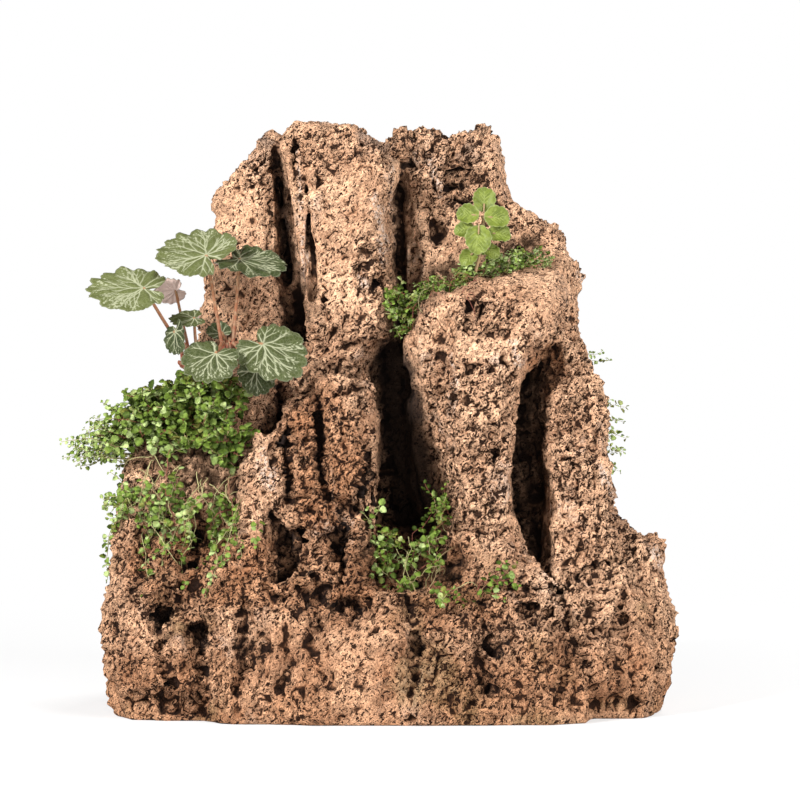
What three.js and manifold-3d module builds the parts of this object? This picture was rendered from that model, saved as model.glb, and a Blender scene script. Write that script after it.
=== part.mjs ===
// A crag of tufa for a tray landscape: fluted, pitted columns of porous stone round a deep dark hollow,
// with a strawberry saxifrage, a small-leaved creeper and a young sprout rooted in its pockets.
// Millimetres, +Z up, +Y towards the back. The origin is on the flat sawn base, under the hollow.

import * as THREE from "three";
import { mergeVertices } from "three/addons/utils/BufferGeometryUtils.js";
import { ImprovedNoise } from "three/addons/math/ImprovedNoise.js";
import Module from "manifold-3d";

const wasm = await Module();
wasm.setup();
const noise = new ImprovedNoise();

// ---------- driving dimensions ----------

const baseZ = 0; // the sawn face
const sawDepth = 8; // how far the crags are drawn below the saw cut
const sawSize = 600; // wider than the stone
const clearance = 0.35; // gap between pieces that touch
const roughSize = 19; // width of a swelling of the weathered surface
const roughDepth = 5.5; // how far it stands out
const boxiness = 0.52; // 1 is an oval crag, less is squarer
const lumpRough = { size: 11.4, share: 0.45 }; // on knobs, pits and clumps; a share of the least half size
const fluteRough = { size: 9.5, depth: 1.6, share: 0.3 }; // on flutes; at most a share of the width
const largeLump = 56; // a lump whose half sizes add up to more is drawn finer

const stoneColour = 0xb08a6a;
const leafColour = 0x6f8f58;
const stalkColour = 0xa8604a;
const creeperColour = 0x5f9a3c;
const sproutColour = 0x8fbf6a;

// Each crag from the bottom up: [height, left, right, front, back].
const crags = {
  backMass: [
    [-sawDepth, -126, 128, -24, 88],
    [30, -132, 134, -22, 95],
    [62, -130, 132, 0, 96],
    [100, -120, 122, 12, 92],
    [145, -106, 110, 14, 88],
    [190, -92, 97, 15, 82],
    [226, -84, 88, 17, 72],
    [258, -78, 70, 20, 60],
    [284, -60, 55, 24, 52],
    [291, -46, 50, 28, 46],
  ],
  slab: [
    [150, -98, -52, -18, 47],
    [194, -96, -52, -15, 47],
    [207, -98, -53, -15, 46],
    [220, -96, -55, -14, 45],
    [247, -87, -56, -13, 43],
    [260, -90, -58, -12, 40],
    [267, -88, -58, -10, 38],
    [276, -72, -58, -7, 34],
    [290, -65, -56, -3, 30],
  ],
  peak: [
    [130, -56, -16, -24, 50],
    [166, -53, -11, -24, 50],
    [183, -52, -2, -25, 48],
    [196, -52, 4, -26, 46],
    [225, -52, 3, -26, 44],
    [242, -52, 0, -24, 44],
    [266, -54, 3, -24, 42],
    [280, -58, 5, -22, 40],
    [300, -50, -19, -12, 32],
  ],
  midCrag: [
    [90, -4, 62, 6, 72],
    [200, -4, 72, 4, 76],
    [222, -4, 74, 2, 74],
    [240, -4, 70, 4, 70],
    [263, -4, 64, 6, 66],
    [278, -4, 62, 7, 63],
    [290, -4, 60, 9, 60],
    [296, 0, 57, 13, 54],
  ],
  shoulder: [
    [40, 48, 112, -18, 74],
    [110, 50, 106, -16, 74],
    [190, 55, 101, -8, 68],
    [212, 56, 99, -6, 64],
    [224, 56, 97, -4, 60],
    [236, 56, 94, -2, 56],
    [246, 56, 93, 4, 50],
    [254, 54, 80, 10, 44],
    [263, 48, 66, 14, 38],
  ],
  frontColumn: [
    [-sawDepth, 22, 86, -88, 16],
    [40, 30, 84, -80, 16],
    [58, 35, 76, -74, 18],
    [78, 37, 68, -68, 18],
    [101, 35, 63, -65, 20],
    [125, 34, 61, -63, 20],
    [150, 31, 62, -61, 20],
    [165, 28, 66, -60, 20],
    [182, 26, 82, -58, 20],
    [203, 27, 92, -55, 20],
    [213, 33, 93, -51, 20],
    [219, 40, 92, -40, 20],
    [225, 50, 90, -28, 20],
  ],
  columnFlank: [
    [60, 30, 60, -46, 20],
    [100, 20, 60, -45, 20],
    [130, 12, 60, -42, 20],
    [160, 9, 60, -42, 20],
    [190, 10, 60, -45, 20],
    [207, 20, 60, -46, 20],
  ],
  rightColumn: [
    [-sawDepth, 76, 134, -70, 30],
    [50, 76, 132, -60, 36],
    [75, 78, 120, -53, 40],
    [103, 79, 110, -47, 42],
    [130, 79, 109, -44, 44],
    [160, 79, 106, -42, 44],
    [177, 78, 106, -39, 40],
    [186, 76, 100, -32, 36],
    [196, 72, 93, -22, 30],
    [204, 66, 88, -12, 26],
  ],
  rightFoot: [
    [-sawDepth, 92, 140, -50, 60],
    [30, 96, 145, -52, 66],
    [50, 100, 146, -48, 66],
    [57, 100, 140, -44, 64],
    [72, 100, 137, -39, 62],
    [85, 100, 134, -35, 60],
    [93, 98, 129, -32, 56],
    [98, 96, 118, -28, 52],
  ],
  pedestal: [
    [-sawDepth, -94, 2, -90, 14],
    [45, -92, -2, -87, 14],
    [73, -84, -8, -81, 14],
    [84, -78, -3, -78, 14],
    [92, -72, -2, -76, 14],
    [102, -66, -12, -72, 14],
    [116, -58, -9, -70, 14],
    [128, -56, -5, -70, 14],
    [139, -55, -5, -68, 14],
    [150, -54, -4, -66, 12],
    [158, -48, -8, -64, 10],
    [166, -38, -10, -58, 4],
  ],
  pedestalRib: [
    [50, -92, -56, -82, -8],
    [90, -76, -54, -74, -8],
    [116, -70, -54, -70, -10],
    [128, -68, -54, -68, -14],
    [140, -64, -54, -63, -22],
  ],
  leftFoot: [
    [-sawDepth, -136, -60, -76, 52],
    [45, -143, -60, -72, 60],
    [56, -141, -60, -70, 60],
    [67, -133, -62, -66, 60],
    [76, -140, -62, -62, 60],
    [88, -138, -62, -58, 58],
    [106, -136, -60, -54, 56],
    [128, -132, -58, -48, 54],
    [144, -122, -56, -42, 50],
    [160, -108, -54, -34, 46],
    [170, -98, -54, -24, 40],
  ],
  plinth: [
    [-sawDepth, -64, 104, -96, -10],
    [40, -56, 98, -95, -10],
    [54, -40, 90, -91, -10],
    [61, -30, 80, -82, -14],
  ],
  hollowFloor: [
    [40, -24, 46, -72, 30],
    [62, -16, 42, -62, 30],
    [78, -8, 36, -42, 30],
    [92, 0, 32, -20, 30],
  ],
};

// Rough knobs that stand proud: [x, y, z, half width, half depth, half height].
const knobs = [
  [6, 6, 288, 11, 12, 8],
  [46, 22, 294, 12, 12, 6],
  [-71, -2, 269, 11, 10, 7],
  [-84, 2, 256, 10, 13, 9],
  [88, 12, 224, 14, 14, 10],
  [70, -52, 58, 22, 16, 22],
  [-30, -74, 68, 22, 14, 12],
  [126, -22, 74, 16, 18, 16],
  [-122, -50, 60, 20, 18, 15],
  [-104, -58, 22, 26, 28, 32],
  [106, -50, 26, 24, 28, 30],
  [10, 80, 120, 24, 18, 26],
  [-58, 78, 76, 30, 16, 24],
  [66, 78, 70, 28, 18, 30],
];

// Flutes run up the faces: [x, y, z of one end, x, y, z of the other end, width, depth].
const flutes = [
  [-57, -22, 288, -50.5, -24, 236, 9, 34],
  [-50, -26, 246, -46.5, -27, 176, 12, 34],
  [-46.4, -25, 290, -45.8, -26, 246, 4.5, 16],
  [-38.4, -27, 272, -38.2, -30, 214, 4.5, 16],
  [6, 0, 268, 9, -2, 160, 10, 34],
  [-35.6, -74, 156, -33.5, -80, 106, 7, 22],
  [-51.4, -73, 139, -50.6, -78, 104, 6.5, 22],
  [-20, -70, 160, -24, -78, 134, 5, 12],
  [72, -52, 168, 71, -64, 84, 17, 34],
  [79, -40, 182, 76, -46, 152, 15, 18],
  [-97, -66, 100, -98, -74, 74, 14, 20],
  [46, -64, 156, 48, -70, 110, 6, 6],
  [-76, 48, 262, -84, 80, 120, 12, 26],
  [-24, 60, 285, -38, 90, 110, 14, 20],
  [52, 62, 260, 56, 92, 60, 15, 20],
  [92, 50, 220, 98, 84, 60, 14, 26],
  [-104, 30, 190, -118, 44, 90, 14, 18],
  [112, 4, 150, 122, 12, 90, 12, 14],
];

// Pits and hollows: [x, y, z, half width, half depth, half height].
const pits = [
  [49, 0, 272, 13, 13, 15],
  [24, -2, 243, 6, 9, 9],
  [-2, -24, 254, 3.5, 5, 4],
  [-8, -27, 214, 3.5, 5, 4],
  [-84, -14, 214, 4, 6, 4],
  [-74, -17, 196, 5, 7, 6],
  [40, -58, 192, 7, 8, 7],
  [32, -57, 184, 5, 7, 3.5],
  [58, -60, 186, 5, 7, 3],
  [53, -61, 168, 4, 6, 4],
  [56, -66, 90, 5, 7, 4],
  [93, -44, 152, 6, 7, 4],
  [98, -42, 160, 3.5, 6, 5],
  [94, -54, 82, 4, 6, 5],
  [112, -50, 64, 6, 7, 6],
  [86, -84, 52, 13, 13, 10],
  [-46, -82, 91, 9, 11, 8],
  [-22, -84, 80, 4.5, 8, 5],
  [-30, -90, 60, 11, 9, 10],
  [-19, -94, 50, 9, 10, 5],
  [-8, -72, 108, 5, 8, 6],
  [-22, -80, 104, 6, 7, 8],
  [-62, -80, 84, 5, 8, 5],
  [-112, -70, 54, 8, 9, 6],
  [-88, -84, 44, 9, 9, 8],
  [10, -96, 36, 9, 7, 7],
  [48, -94, 48, 6, 7, 5],
  [34, 80, 170, 10, 12, 14],
  [-10, 96, 70, 12, 10, 10],
  [78, 88, 120, 9, 12, 12],
  [-92, 84, 60, 12, 12, 9],
  [100, 40, 180, 8, 10, 9],
];

// Creeping plants fill these forms: [x, y, z, half width, half depth, half height].
const creepers = {
  creeper_left: [
    [-96, -48, 142, 38, 26, 29],
    [-90, -60, 112, 32, 16, 28],
    [-122, -46, 120, 20, 20, 30],
    [-146, -40, 136, 21, 9, 11],
    [-70, -80, 98, 10, 8, 22],
  ],
  creeper_ledge: [
    [9, -14, 204, 14, 17, 18],
    [30, -25, 217, 18, 19, 12],
    [56, -25, 227, 18, 18, 10],
    [74, -14, 232, 13, 15, 10],
  ],
  creeper_hollow: [
    [11, -56, 78, 21, 18, 17],
    [18, -48, 103, 13, 14, 23],
    [-4, -56, 92, 10, 14, 12],
    [34, -74, 66, 14, 14, 8],
  ],
  creeper_right: [
    [114, 10, 140, 13, 10, 22],
    [122, 12, 130, 12, 9, 14],
    [109, 11, 168, 9, 8, 22],
  ],
};

// The saxifrage has two root crowns.
const crowns = { crown_right: [-79, -45, 174], crown_left: [-99, -46, 172] };
const crownRadius = 4.2;
const crownHeight = 0.8; // as a share of its width

// Each saxifrage leaf: [its crown, the bearing in degrees at which its stalk leaves that, where the stalk
// meets the blade, the way the tip points, the way the upper face looks, the reach from stalk to tip].
const leaves = {
  leaf_top: ["crown_right", 150, [-90, -46, 227], [-0.9, 0.1, 0.28], [-0.1, -0.68, 0.72], 27],
  leaf_high_right: ["crown_right", 60, [-74, -38, 226], [0.85, -0.5, -0.2], [0.05, -0.46, 0.88], 24],
  leaf_far_left: ["crown_left", 190, [-120, -55, 210], [-0.97, -0.15, 0.12], [0.02, -0.6, 0.8], 27],
  leaf_turned: ["crown_left", 95, [-107, -30, 211], [-0.7, 0.2, -0.1], [-0.1, 0.72, 0.68], 13],
  leaf_small_left: ["crown_left", 20, [-96, -46, 196], [-0.85, -0.35, 0.05], [0, -0.55, 0.83], 12],
  leaf_small_back: ["crown_right", 105, [-83, -34, 189], [-0.7, 0.2, 0.5], [0.1, -0.75, 0.65], 8.5],
  leaf_folded: ["crown_left", 260, [-104, -62, 188], [0.2, -0.3, -0.9], [-0.75, -0.6, 0.1], 12],
  leaf_front_left: ["crown_right", 230, [-83, -70, 177], [-0.45, -0.55, -0.6], [0.02, -0.75, 0.66], 19],
  leaf_front_right: ["crown_right", 345, [-61, -58, 182], [0.72, -0.42, -0.5], [0.1, -0.78, 0.62], 24],
  leaf_hanging: ["crown_right", 300, [-64, -57, 170], [0.04, -0.1, -0.95], [0.1, -0.94, 0.12], 13],
};
const saxifrage = {
  scallops: 12,
  scallopDepth: 0.06, // as a share of the outline, as the notch is
  notchDepth: 0.55,
  notchWidth: 0.28, // radians
  thickness: 1.2,
  cup: 0.12, // rise of the sides as a share of the reach
  around: 24, // points round the margin
};
const stalks = {
  radius: 1.1,
  footHeight: 2.5, // above the crown's middle
  riseHeight: 7, // where the stalk turns up
  riseReach: 1.9, // times as far out as the foot
  bend: 0.55, // the middle of the stalk lies this near the blade
};

// The sprout: its stem from foot to top, then its leaves: [where it meets the stem, the way its tip points,
// the way its upper face looks, its length].
const sproutStem = [[44, -40, 219], [47, -41, 233], [48, -41, 247]];
const sproutLeaves = [
  [[48, -40.8, 248], [0.05, 0.12, 1], [0, -1, 0.1], 13],
  [[46.5, -43.4, 246.5], [-1, -0.1, 0.15], [-0.1, -1, 0.2], 11.5],
  [[49.6, -45.4, 246], [1, -0.1, 0], [0.1, -1, 0.25], 12.5],
  [[45.4, -43.6, 237.4], [-1, -0.1, 0.1], [-0.1, -0.9, 0.4], 10],
  [[46.5, -46.4, 240.6], [-0.05, -0.25, -1], [0, -1, 0.25], 14],
  [[48.8, -44.4, 237.4], [1, -0.15, 0.05], [0.1, -0.9, 0.4], 12],
  [[48, -39, 233], [0.8, -0.1, -0.75], [0.1, -0.9, 0.4], 9],
  [[44.2, -43.4, 230], [-0.7, -0.3, -0.75], [0, -0.9, 0.4], 10],
];
const sprout = {
  stemRadius: 0.9,
  scallops: 6,
  scallopDepth: 0.04,
  narrowing: 0.14, // how much less wide than long
  thickness: 1,
  cup: 0.1,
  around: 12,
};

// ---------- shared shapes ----------

function bare(geometry) {
  const plain = geometry.clone();
  plain.deleteAttribute("normal");
  plain.deleteAttribute("uv");
  return mergeVertices(plain, 1e-4);
}

function solidOf(geometry) {
  const merged = bare(geometry);
  return new wasm.Manifold(
    new wasm.Mesh({
      numProp: 3,
      vertProperties: merged.attributes.position.array,
      triVerts: new Uint32Array(merged.index.array),
    }),
  );
}

function geometryOf(solid) {
  const mesh = solid.getMesh();
  const geometry = new THREE.BufferGeometry();
  geometry.setAttribute("position", new THREE.BufferAttribute(mesh.vertProperties, 3));
  geometry.setIndex(new THREE.BufferAttribute(mesh.triVerts, 1));
  return geometry;
}

const joined = (solids) => solids.reduce((whole, next) => whole.add(next));

// Moves every vertex by what move(point) does to it, once its seams are closed.
function reshaped(shape, move) {
  const geometry = bare(shape);
  const place = geometry.attributes.position;
  const point = new THREE.Vector3();
  for (let i = 0; i < place.count; i++) {
    point.fromBufferAttribute(place, i);
    move(point);
    place.setXYZ(i, point.x, point.y, point.z);
  }
  return geometry;
}

function weathered(point, depth, size) {
  const { x, y, z } = point;
  point.x += depth * noise.noise(x / size, y / size, z / (2 * size));
  point.y += depth * noise.noise(y / size + 31.4, z / (2 * size), x / size);
  point.z += depth * noise.noise(z / size, x / size + 17.7, y / size);
}

// A lumpy ball, stretched to half sizes, for knobs, pits and clumps. Only a large one has fine facets.
function lump([x, y, z, halfWidth, halfDepth, halfHeight]) {
  const detail = halfWidth + halfDepth + halfHeight > largeLump ? 1 : 0;
  const ball = new THREE.IcosahedronGeometry(1, detail);
  return solidOf(
    reshaped(ball, (p) => {
      p.set(x + p.x * halfWidth, y + p.y * halfDepth, z + p.z * halfHeight);
      weathered(p, Math.min(halfWidth, halfDepth, halfHeight) * lumpRough.share, lumpRough.size);
    }),
  );
}

// ---------- the stone ----------

// How far a crag reaches at a height, by straight lines between its levels.
function reachAt(levels, height) {
  const next = Math.max(1, levels.findIndex((level) => level[0] >= height));
  const [low, high] = [levels[next - 1], levels[next]];
  const share = (height - low[0]) / (high[0] - low[0]);
  return low.map((value, i) => value + (high[i] - value) * share);
}

function crag(levels, sides = 13, stepHeight = 22) {
  const [foot, top] = [levels[0][0], levels.at(-1)[0]];
  const steps = Math.max(4, Math.round((top - foot) / stepHeight));
  const column = new THREE.CylinderGeometry(1, 1, top - foot, sides, steps);
  column.translate(0, (top + foot) / 2, 0);
  return solidOf(
    reshaped(column, (p) => {
      const height = Math.min(top, Math.max(foot, p.y));
      const [, left, right, front, back] = reachAt(levels, height);
      const across = Math.sign(p.x) * Math.abs(p.x) ** boxiness;
      const along = -Math.sign(p.z) * Math.abs(p.z) ** boxiness;
      p.set(
        (left + right) / 2 + (across * (right - left)) / 2,
        (front + back) / 2 + (along * (back - front)) / 2,
        height,
      );
      weathered(p, roughDepth, roughSize);
    }),
  );
}

// A long rounded cutter between two points, deeper than it is wide.
function flute([x1, y1, z1, x2, y2, z2, width, depth]) {
  const [from, to] = [new THREE.Vector3(x1, y1, z1), new THREE.Vector3(x2, y2, z2)];
  const run = to.clone().sub(from);
  const cutter = new THREE.CapsuleGeometry(1, run.length() / width, 1, 6, 3);
  cutter.scale(width / 2, width, depth / 2);
  const upright = new THREE.Vector3(0, 1, 0);
  cutter.applyQuaternion(new THREE.Quaternion().setFromUnitVectors(upright, run.normalize()));
  const middle = from.add(to).multiplyScalar(0.5);
  cutter.translate(middle.x, middle.y, middle.z);
  const rough = Math.min(fluteRough.depth, width * fluteRough.share);
  return solidOf(reshaped(cutter, (p) => weathered(p, rough, fluteRough.size)));
}

function sawCut() {
  const waste = new THREE.BoxGeometry(sawSize, sawSize, sawSize);
  waste.translate(0, 0, baseZ - sawSize / 2);
  return solidOf(waste);
}

const biggest = (solid) => solid.decompose().sort((a, b) => b.volume() - a.volume())[0];

function tufa() {
  const mass = joined([...Object.values(crags).map((levels) => crag(levels)), ...knobs.map(lump)]);
  const carved = mass.subtract(joined([...flutes.map(flute), ...pits.map(lump)]));
  return biggest(carved.subtract(sawCut()));
}

// How far a vertex moves so that the flattest-lying face round it still moves out by one, up to three.
function mitres(geometry) {
  const index = geometry.index.array;
  const normal = geometry.attributes.normal;
  const place = geometry.attributes.position;
  const least = new Float32Array(place.count).fill(1);
  const triangle = new THREE.Triangle();
  const across = new THREE.Vector3();
  const outward = new THREE.Vector3();
  for (let i = 0; i < index.length; i += 3) {
    triangle.setFromAttributeAndIndices(place, index[i], index[i + 1], index[i + 2]);
    triangle.getNormal(across);
    for (const corner of index.slice(i, i + 3))
      least[corner] = Math.min(least[corner], across.dot(outward.fromBufferAttribute(normal, corner)));
  }
  return least.map((value) => 1 / Math.max(1 / 3, value));
}

// The same solid with its surface moved out by a distance, for cutting a neighbour clear of it.
function swollen(solid, distance) {
  const geometry = mergeVertices(geometryOf(solid), 1e-4);
  geometry.computeVertexNormals();
  const mitre = mitres(geometry);
  const place = geometry.attributes.position;
  const point = new THREE.Vector3();
  const outward = new THREE.Vector3();
  for (let i = 0; i < place.count; i++) {
    outward.fromBufferAttribute(geometry.attributes.normal, i);
    point.fromBufferAttribute(place, i).addScaledVector(outward, distance * mitre[i]);
    place.setXYZ(i, point.x, point.y, point.z);
  }
  return solidOf(geometry);
}

// ---------- the plants ----------

function stalk(points, radius, sides = 5, steps = 3) {
  const path = new THREE.CatmullRomCurve3(points.map((p) => new THREE.Vector3(...p)));
  const section = new THREE.Shape();
  for (let i = 0; i < sides; i++) {
    const turn = (i / sides) * 2 * Math.PI;
    const [x, y] = [radius * Math.cos(turn), radius * Math.sin(turn)];
    if (i) section.lineTo(x, y);
    else section.moveTo(x, y);
  }
  return solidOf(new THREE.ExtrudeGeometry(section, { steps, extrudePath: path, bevelEnabled: false }));
}

// Outline of the kidney-shaped blade round its stalk, as a share of its reach; turn 0 is the tip.
function kidney(turn) {
  const { scallops, scallopDepth, notchDepth, notchWidth } = saxifrage;
  const notch = Math.exp(-(((Math.PI - Math.abs(turn)) / notchWidth) ** 2));
  const round = 0.74 + 0.26 * Math.cos(turn);
  return round * (1 + scallopDepth * Math.cos(scallops * turn)) * (1 - notchDepth * notch);
}

// Outline of the sprout's rounded leaf, as a share of half its length.
function oval(turn) {
  const { narrowing, scallops, scallopDepth } = sprout;
  return 1 - narrowing * Math.sin(turn) ** 2 + scallopDepth * Math.cos(scallops * turn);
}

// A thin blade round the point at, lifted into a shallow trough from its tip to its foot.
function blade(at, tip, up, reach, outline, { thickness, cup, around }) {
  const face = new THREE.Vector3(...up).normalize();
  const forward = new THREE.Vector3(...tip);
  forward.addScaledVector(face, -forward.dot(face)).normalize();
  const side = new THREE.Vector3().crossVectors(face, forward);
  const disc = new THREE.SphereGeometry(1, around, 3);
  return solidOf(
    reshaped(disc, (p) => {
      const turn = Math.atan2(p.x, p.z);
      const share = Math.hypot(p.x, p.z);
      const out = share * reach * outline(turn);
      const lift = (thickness / 2) * p.y + cup * reach * share ** 2 * (1 - 0.9 * Math.cos(turn) ** 2);
      p.set(...at)
        .addScaledVector(forward, out * Math.cos(turn))
        .addScaledVector(side, out * Math.sin(turn))
        .addScaledVector(face, lift);
    }),
  );
}

function saxifrageLeaf([crown, bearing, at, tip, up, reach]) {
  const [x, y, z] = crowns[crown];
  const out = crownRadius + clearance + stalks.radius / 2;
  const turn = THREE.MathUtils.degToRad(bearing);
  const [east, north] = [out * Math.cos(turn), out * Math.sin(turn)];
  const foot = [x + east, y + north, z + stalks.footHeight];
  const rise = [x + stalks.riseReach * east, y + stalks.riseReach * north, z + stalks.riseHeight];
  const middle = at.map((value, i) => rise[i] + (value - rise[i]) * stalks.bend);
  return blade(at, tip, up, reach, kidney, saxifrage).add(stalk([foot, rise, middle, at], stalks.radius));
}

// The sprout's leaf grows forward from where it meets the stem.
function sproutLeaf([at, tip, up, reach]) {
  const out = reach / 2 + sprout.stemRadius + clearance;
  const centre = new THREE.Vector3(...tip).setLength(out).add(new THREE.Vector3(...at));
  return blade(centre.toArray(), tip, up, reach / 2, oval, sprout);
}

function crownSolid([x, y, z]) {
  const ball = new THREE.IcosahedronGeometry(crownRadius, 0);
  ball.scale(1, 1, crownHeight);
  ball.translate(x, y, z);
  return solidOf(ball);
}

// ---------- the part ----------

const part = new THREE.Group();

function addPiece(name, solid, colour, roughness) {
  const piece = new THREE.Mesh(
    geometryOf(solid),
    new THREE.MeshStandardMaterial({ color: colour, roughness, metalness: 0, flatShading: true }),
  );
  piece.name = name;
  part.add(piece);
  return solid;
}

const stone = addPiece("rock", tufa(), stoneColour, 0.95);
const stoneRoom = swollen(stone, clearance);
const clearOfStone = (solid) => biggest(solid.subtract(stoneRoom));

const plants = [
  ...Object.entries(crowns).map(([name, centre]) =>
    addPiece(name, clearOfStone(crownSolid(centre)), stalkColour, 0.7),
  ),
  ...Object.entries(leaves).map(([name, leaf]) =>
    addPiece(name, clearOfStone(saxifrageLeaf(leaf)), leafColour, 0.6),
  ),
  addPiece("sprout_stem", clearOfStone(stalk(sproutStem, sprout.stemRadius)), sproutColour, 0.6),
  ...sproutLeaves.map((leaf, i) => addPiece(`sprout_leaf_${i + 1}`, sproutLeaf(leaf), sproutColour, 0.6)),
];
const plantRoom = joined(plants.map((solid) => swollen(solid, clearance)));
for (const [name, forms] of Object.entries(creepers)) {
  const clump = joined(forms.map(lump)).subtract(stoneRoom).subtract(stone);
  addPiece(name, biggest(clump.subtract(plantRoom)), creeperColour, 0.7);
}

export default part;
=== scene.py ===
import itertools
import math

import bmesh
import bpy
import numpy as np
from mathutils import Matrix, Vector
from mathutils.bvhtree import BVHTree


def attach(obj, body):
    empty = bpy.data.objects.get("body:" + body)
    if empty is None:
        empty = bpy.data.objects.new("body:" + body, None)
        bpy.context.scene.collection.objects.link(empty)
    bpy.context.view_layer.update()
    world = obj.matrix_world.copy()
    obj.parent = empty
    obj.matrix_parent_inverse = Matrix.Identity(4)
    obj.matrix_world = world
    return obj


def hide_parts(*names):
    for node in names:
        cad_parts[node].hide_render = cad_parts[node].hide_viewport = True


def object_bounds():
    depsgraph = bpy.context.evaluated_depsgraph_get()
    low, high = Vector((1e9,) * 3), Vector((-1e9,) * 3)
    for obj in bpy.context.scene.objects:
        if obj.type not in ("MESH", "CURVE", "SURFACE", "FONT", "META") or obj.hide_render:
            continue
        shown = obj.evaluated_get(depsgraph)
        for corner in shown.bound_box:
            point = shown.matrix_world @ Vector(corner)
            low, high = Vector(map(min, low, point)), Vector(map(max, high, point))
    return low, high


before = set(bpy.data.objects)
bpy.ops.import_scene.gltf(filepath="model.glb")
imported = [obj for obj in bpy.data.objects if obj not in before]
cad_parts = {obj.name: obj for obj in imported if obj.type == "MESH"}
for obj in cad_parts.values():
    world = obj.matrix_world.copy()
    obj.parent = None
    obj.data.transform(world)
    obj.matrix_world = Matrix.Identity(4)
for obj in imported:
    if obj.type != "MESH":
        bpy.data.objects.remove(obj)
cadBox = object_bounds()
mm = 0.001  # shapes are worked out in millimetres and written in metres
print("frame loaded:", len(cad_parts), "nodes")


# Arrays of points and triangles become pieces; a mark is a number kept at every point for a material to read

def addObject(name, data):
    made = bpy.data.objects.new(name, data)
    bpy.context.scene.collection.objects.link(made)
    return made


def makePiece(name, points, triangles, marks):
    mesh = bpy.data.meshes.new(name)
    triangles = np.asarray(triangles, np.int32)
    mesh.vertices.add(len(points))
    mesh.vertices.foreach_set("co", (points * mm).astype(np.float32).ravel())
    mesh.loops.add(triangles.size)
    mesh.loops.foreach_set("vertex_index", triangles.ravel())
    mesh.polygons.add(len(triangles))
    mesh.polygons.foreach_set("loop_start", np.arange(0, triangles.size, 3, dtype=np.int32))
    mesh.update(calc_edges=True)
    for markName, values in marks.items():
        addMark(mesh, markName, values)
    mesh.shade_smooth()
    return addObject(name, mesh)


def addMark(mesh, name, values):
    mark = mesh.attributes.new(name, "FLOAT", "POINT")
    mark.data.foreach_set("value", np.asarray(values, np.float32))


# Gathers many small shapes, each with its own marks, into the arrays of one piece
class Pile:
    def __init__(self, *markNames):
        self.points, self.triangles, self.count = [], [], 0
        self.marks = {name: [] for name in markNames}

    def add(self, points, triangles, **marks):
        self.points.append(points)
        self.triangles.append(triangles + self.count)
        self.count += len(points)
        for name, kept in self.marks.items():
            kept.append(np.broadcast_to(marks.get(name, 0.0), len(points)))

    def piece(self, name):
        marks = {markName: np.concatenate(kept) for markName, kept in self.marks.items()}
        return makePiece(name, np.concatenate(self.points), np.concatenate(self.triangles), marks)


def readArray(items, key, width, kind=np.float32):
    values = np.zeros(len(items) * width, kind)
    items.foreach_get(key, values)
    return values.reshape(-1, width)


def readPoints(mesh):
    return readArray(mesh.vertices, "co", 3).astype(float) / mm


def writePoints(mesh, points):
    mesh.vertices.foreach_set("co", (points * mm).astype(np.float32).ravel())
    mesh.update()


def readNormals(mesh):
    return readArray(mesh.vertex_normals, "vector", 3).astype(float)


def surfaceTree(piece):
    mesh = piece.data
    mesh.calc_loop_triangles()
    triangles = readArray(mesh.loop_triangles, "vertices", 3, np.int32)
    return BVHTree.FromPolygons(readPoints(mesh).tolist(), triangles.tolist())


def keepModifier(piece, kind, **values):
    modifier = piece.modifiers.new(kind, kind)
    for key, value in values.items():
        setattr(modifier, key, value)
    graph = bpy.context.evaluated_depsgraph_get()
    mesh = bpy.data.meshes.new_from_object(piece.evaluated_get(graph))
    piece.modifiers.clear()
    piece.data = mesh


def unit(v):
    v = np.asarray(v, float)
    return v / np.maximum(np.linalg.norm(v, axis=-1, keepdims=True), 1e-9)


def circleTurns(sides):
    return np.arange(sides) / sides * 2 * math.pi


def levelWay(bearing):
    return np.array([math.cos(bearing), math.sin(bearing), 0])


# How far along a segment, from 0 to 1, its nearest point to each (u, v) lies, and how far away that is
def toSegment(u, v, u0, v0, u1, v1):
    length = (u1 - u0) ** 2 + (v1 - v0) ** 2
    t = np.clip(((u - u0) * (u1 - u0) + (v - v0) * (v1 - v0)) / length, 0, 1)
    return t, np.hypot(u - u0 - t * (u1 - u0), v - v0 - t * (v1 - v0))


def finishPiece(piece, material, node):
    piece.data.materials.clear()
    piece.data.materials.append(material)
    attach(piece, "root")
    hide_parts(node)


# Noise: every whole-numbered cell of space has its own number from 0 to 1, another one for each salt

salts = {
    "flutes": 11, "lumps": 21, "bulges": 25, "pits": 51, "roughness": 61, "crumbs": 91, "cracks": 141,
    "carving": 301, "carvingFine": 305, "lines": 311, "damp": 321, "dampStrength": 331, "paintedCaveShade": 341,
}


def cellValue(cell, salt):
    h = cell[:, 0] * 73856093 ^ cell[:, 1] * 19349663 ^ cell[:, 2] * 83492791 ^ (salt * 40503 + 977)
    h = ((h ^ (h >> 15)) * 2246822519) & 0xFFFFFFFF
    h = ((h ^ (h >> 13)) * 3266489917) & 0xFFFFFFFF
    return ((h ^ (h >> 16)) & 0xFFFFFF) / 0xFFFFFF


def smoothNoise(points, size, salt):
    p = points / size
    cell = np.floor(p).astype(np.int64)
    t = p - cell
    t = t * t * t * (t * (t * 6 - 15) + 10)
    total = np.zeros(len(p))
    for corner in itertools.product((0, 1), repeat=3):
        share = np.prod(np.where(np.array(corner, bool), t, 1 - t), axis=1)
        total += share * cellValue(cell + np.array(corner), salt)
    return total * 2 - 1


def layeredNoise(points, size, salt, layers=2):
    size = np.asarray(size)
    return sum(smoothNoise(points, size / 2 ** i, salt + i) / 2 ** i for i in range(layers))


def warped(points, size, depth, salt):
    return points + depth * np.stack([smoothNoise(points, size, salt + i) for i in range(3)], axis=1)


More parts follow.
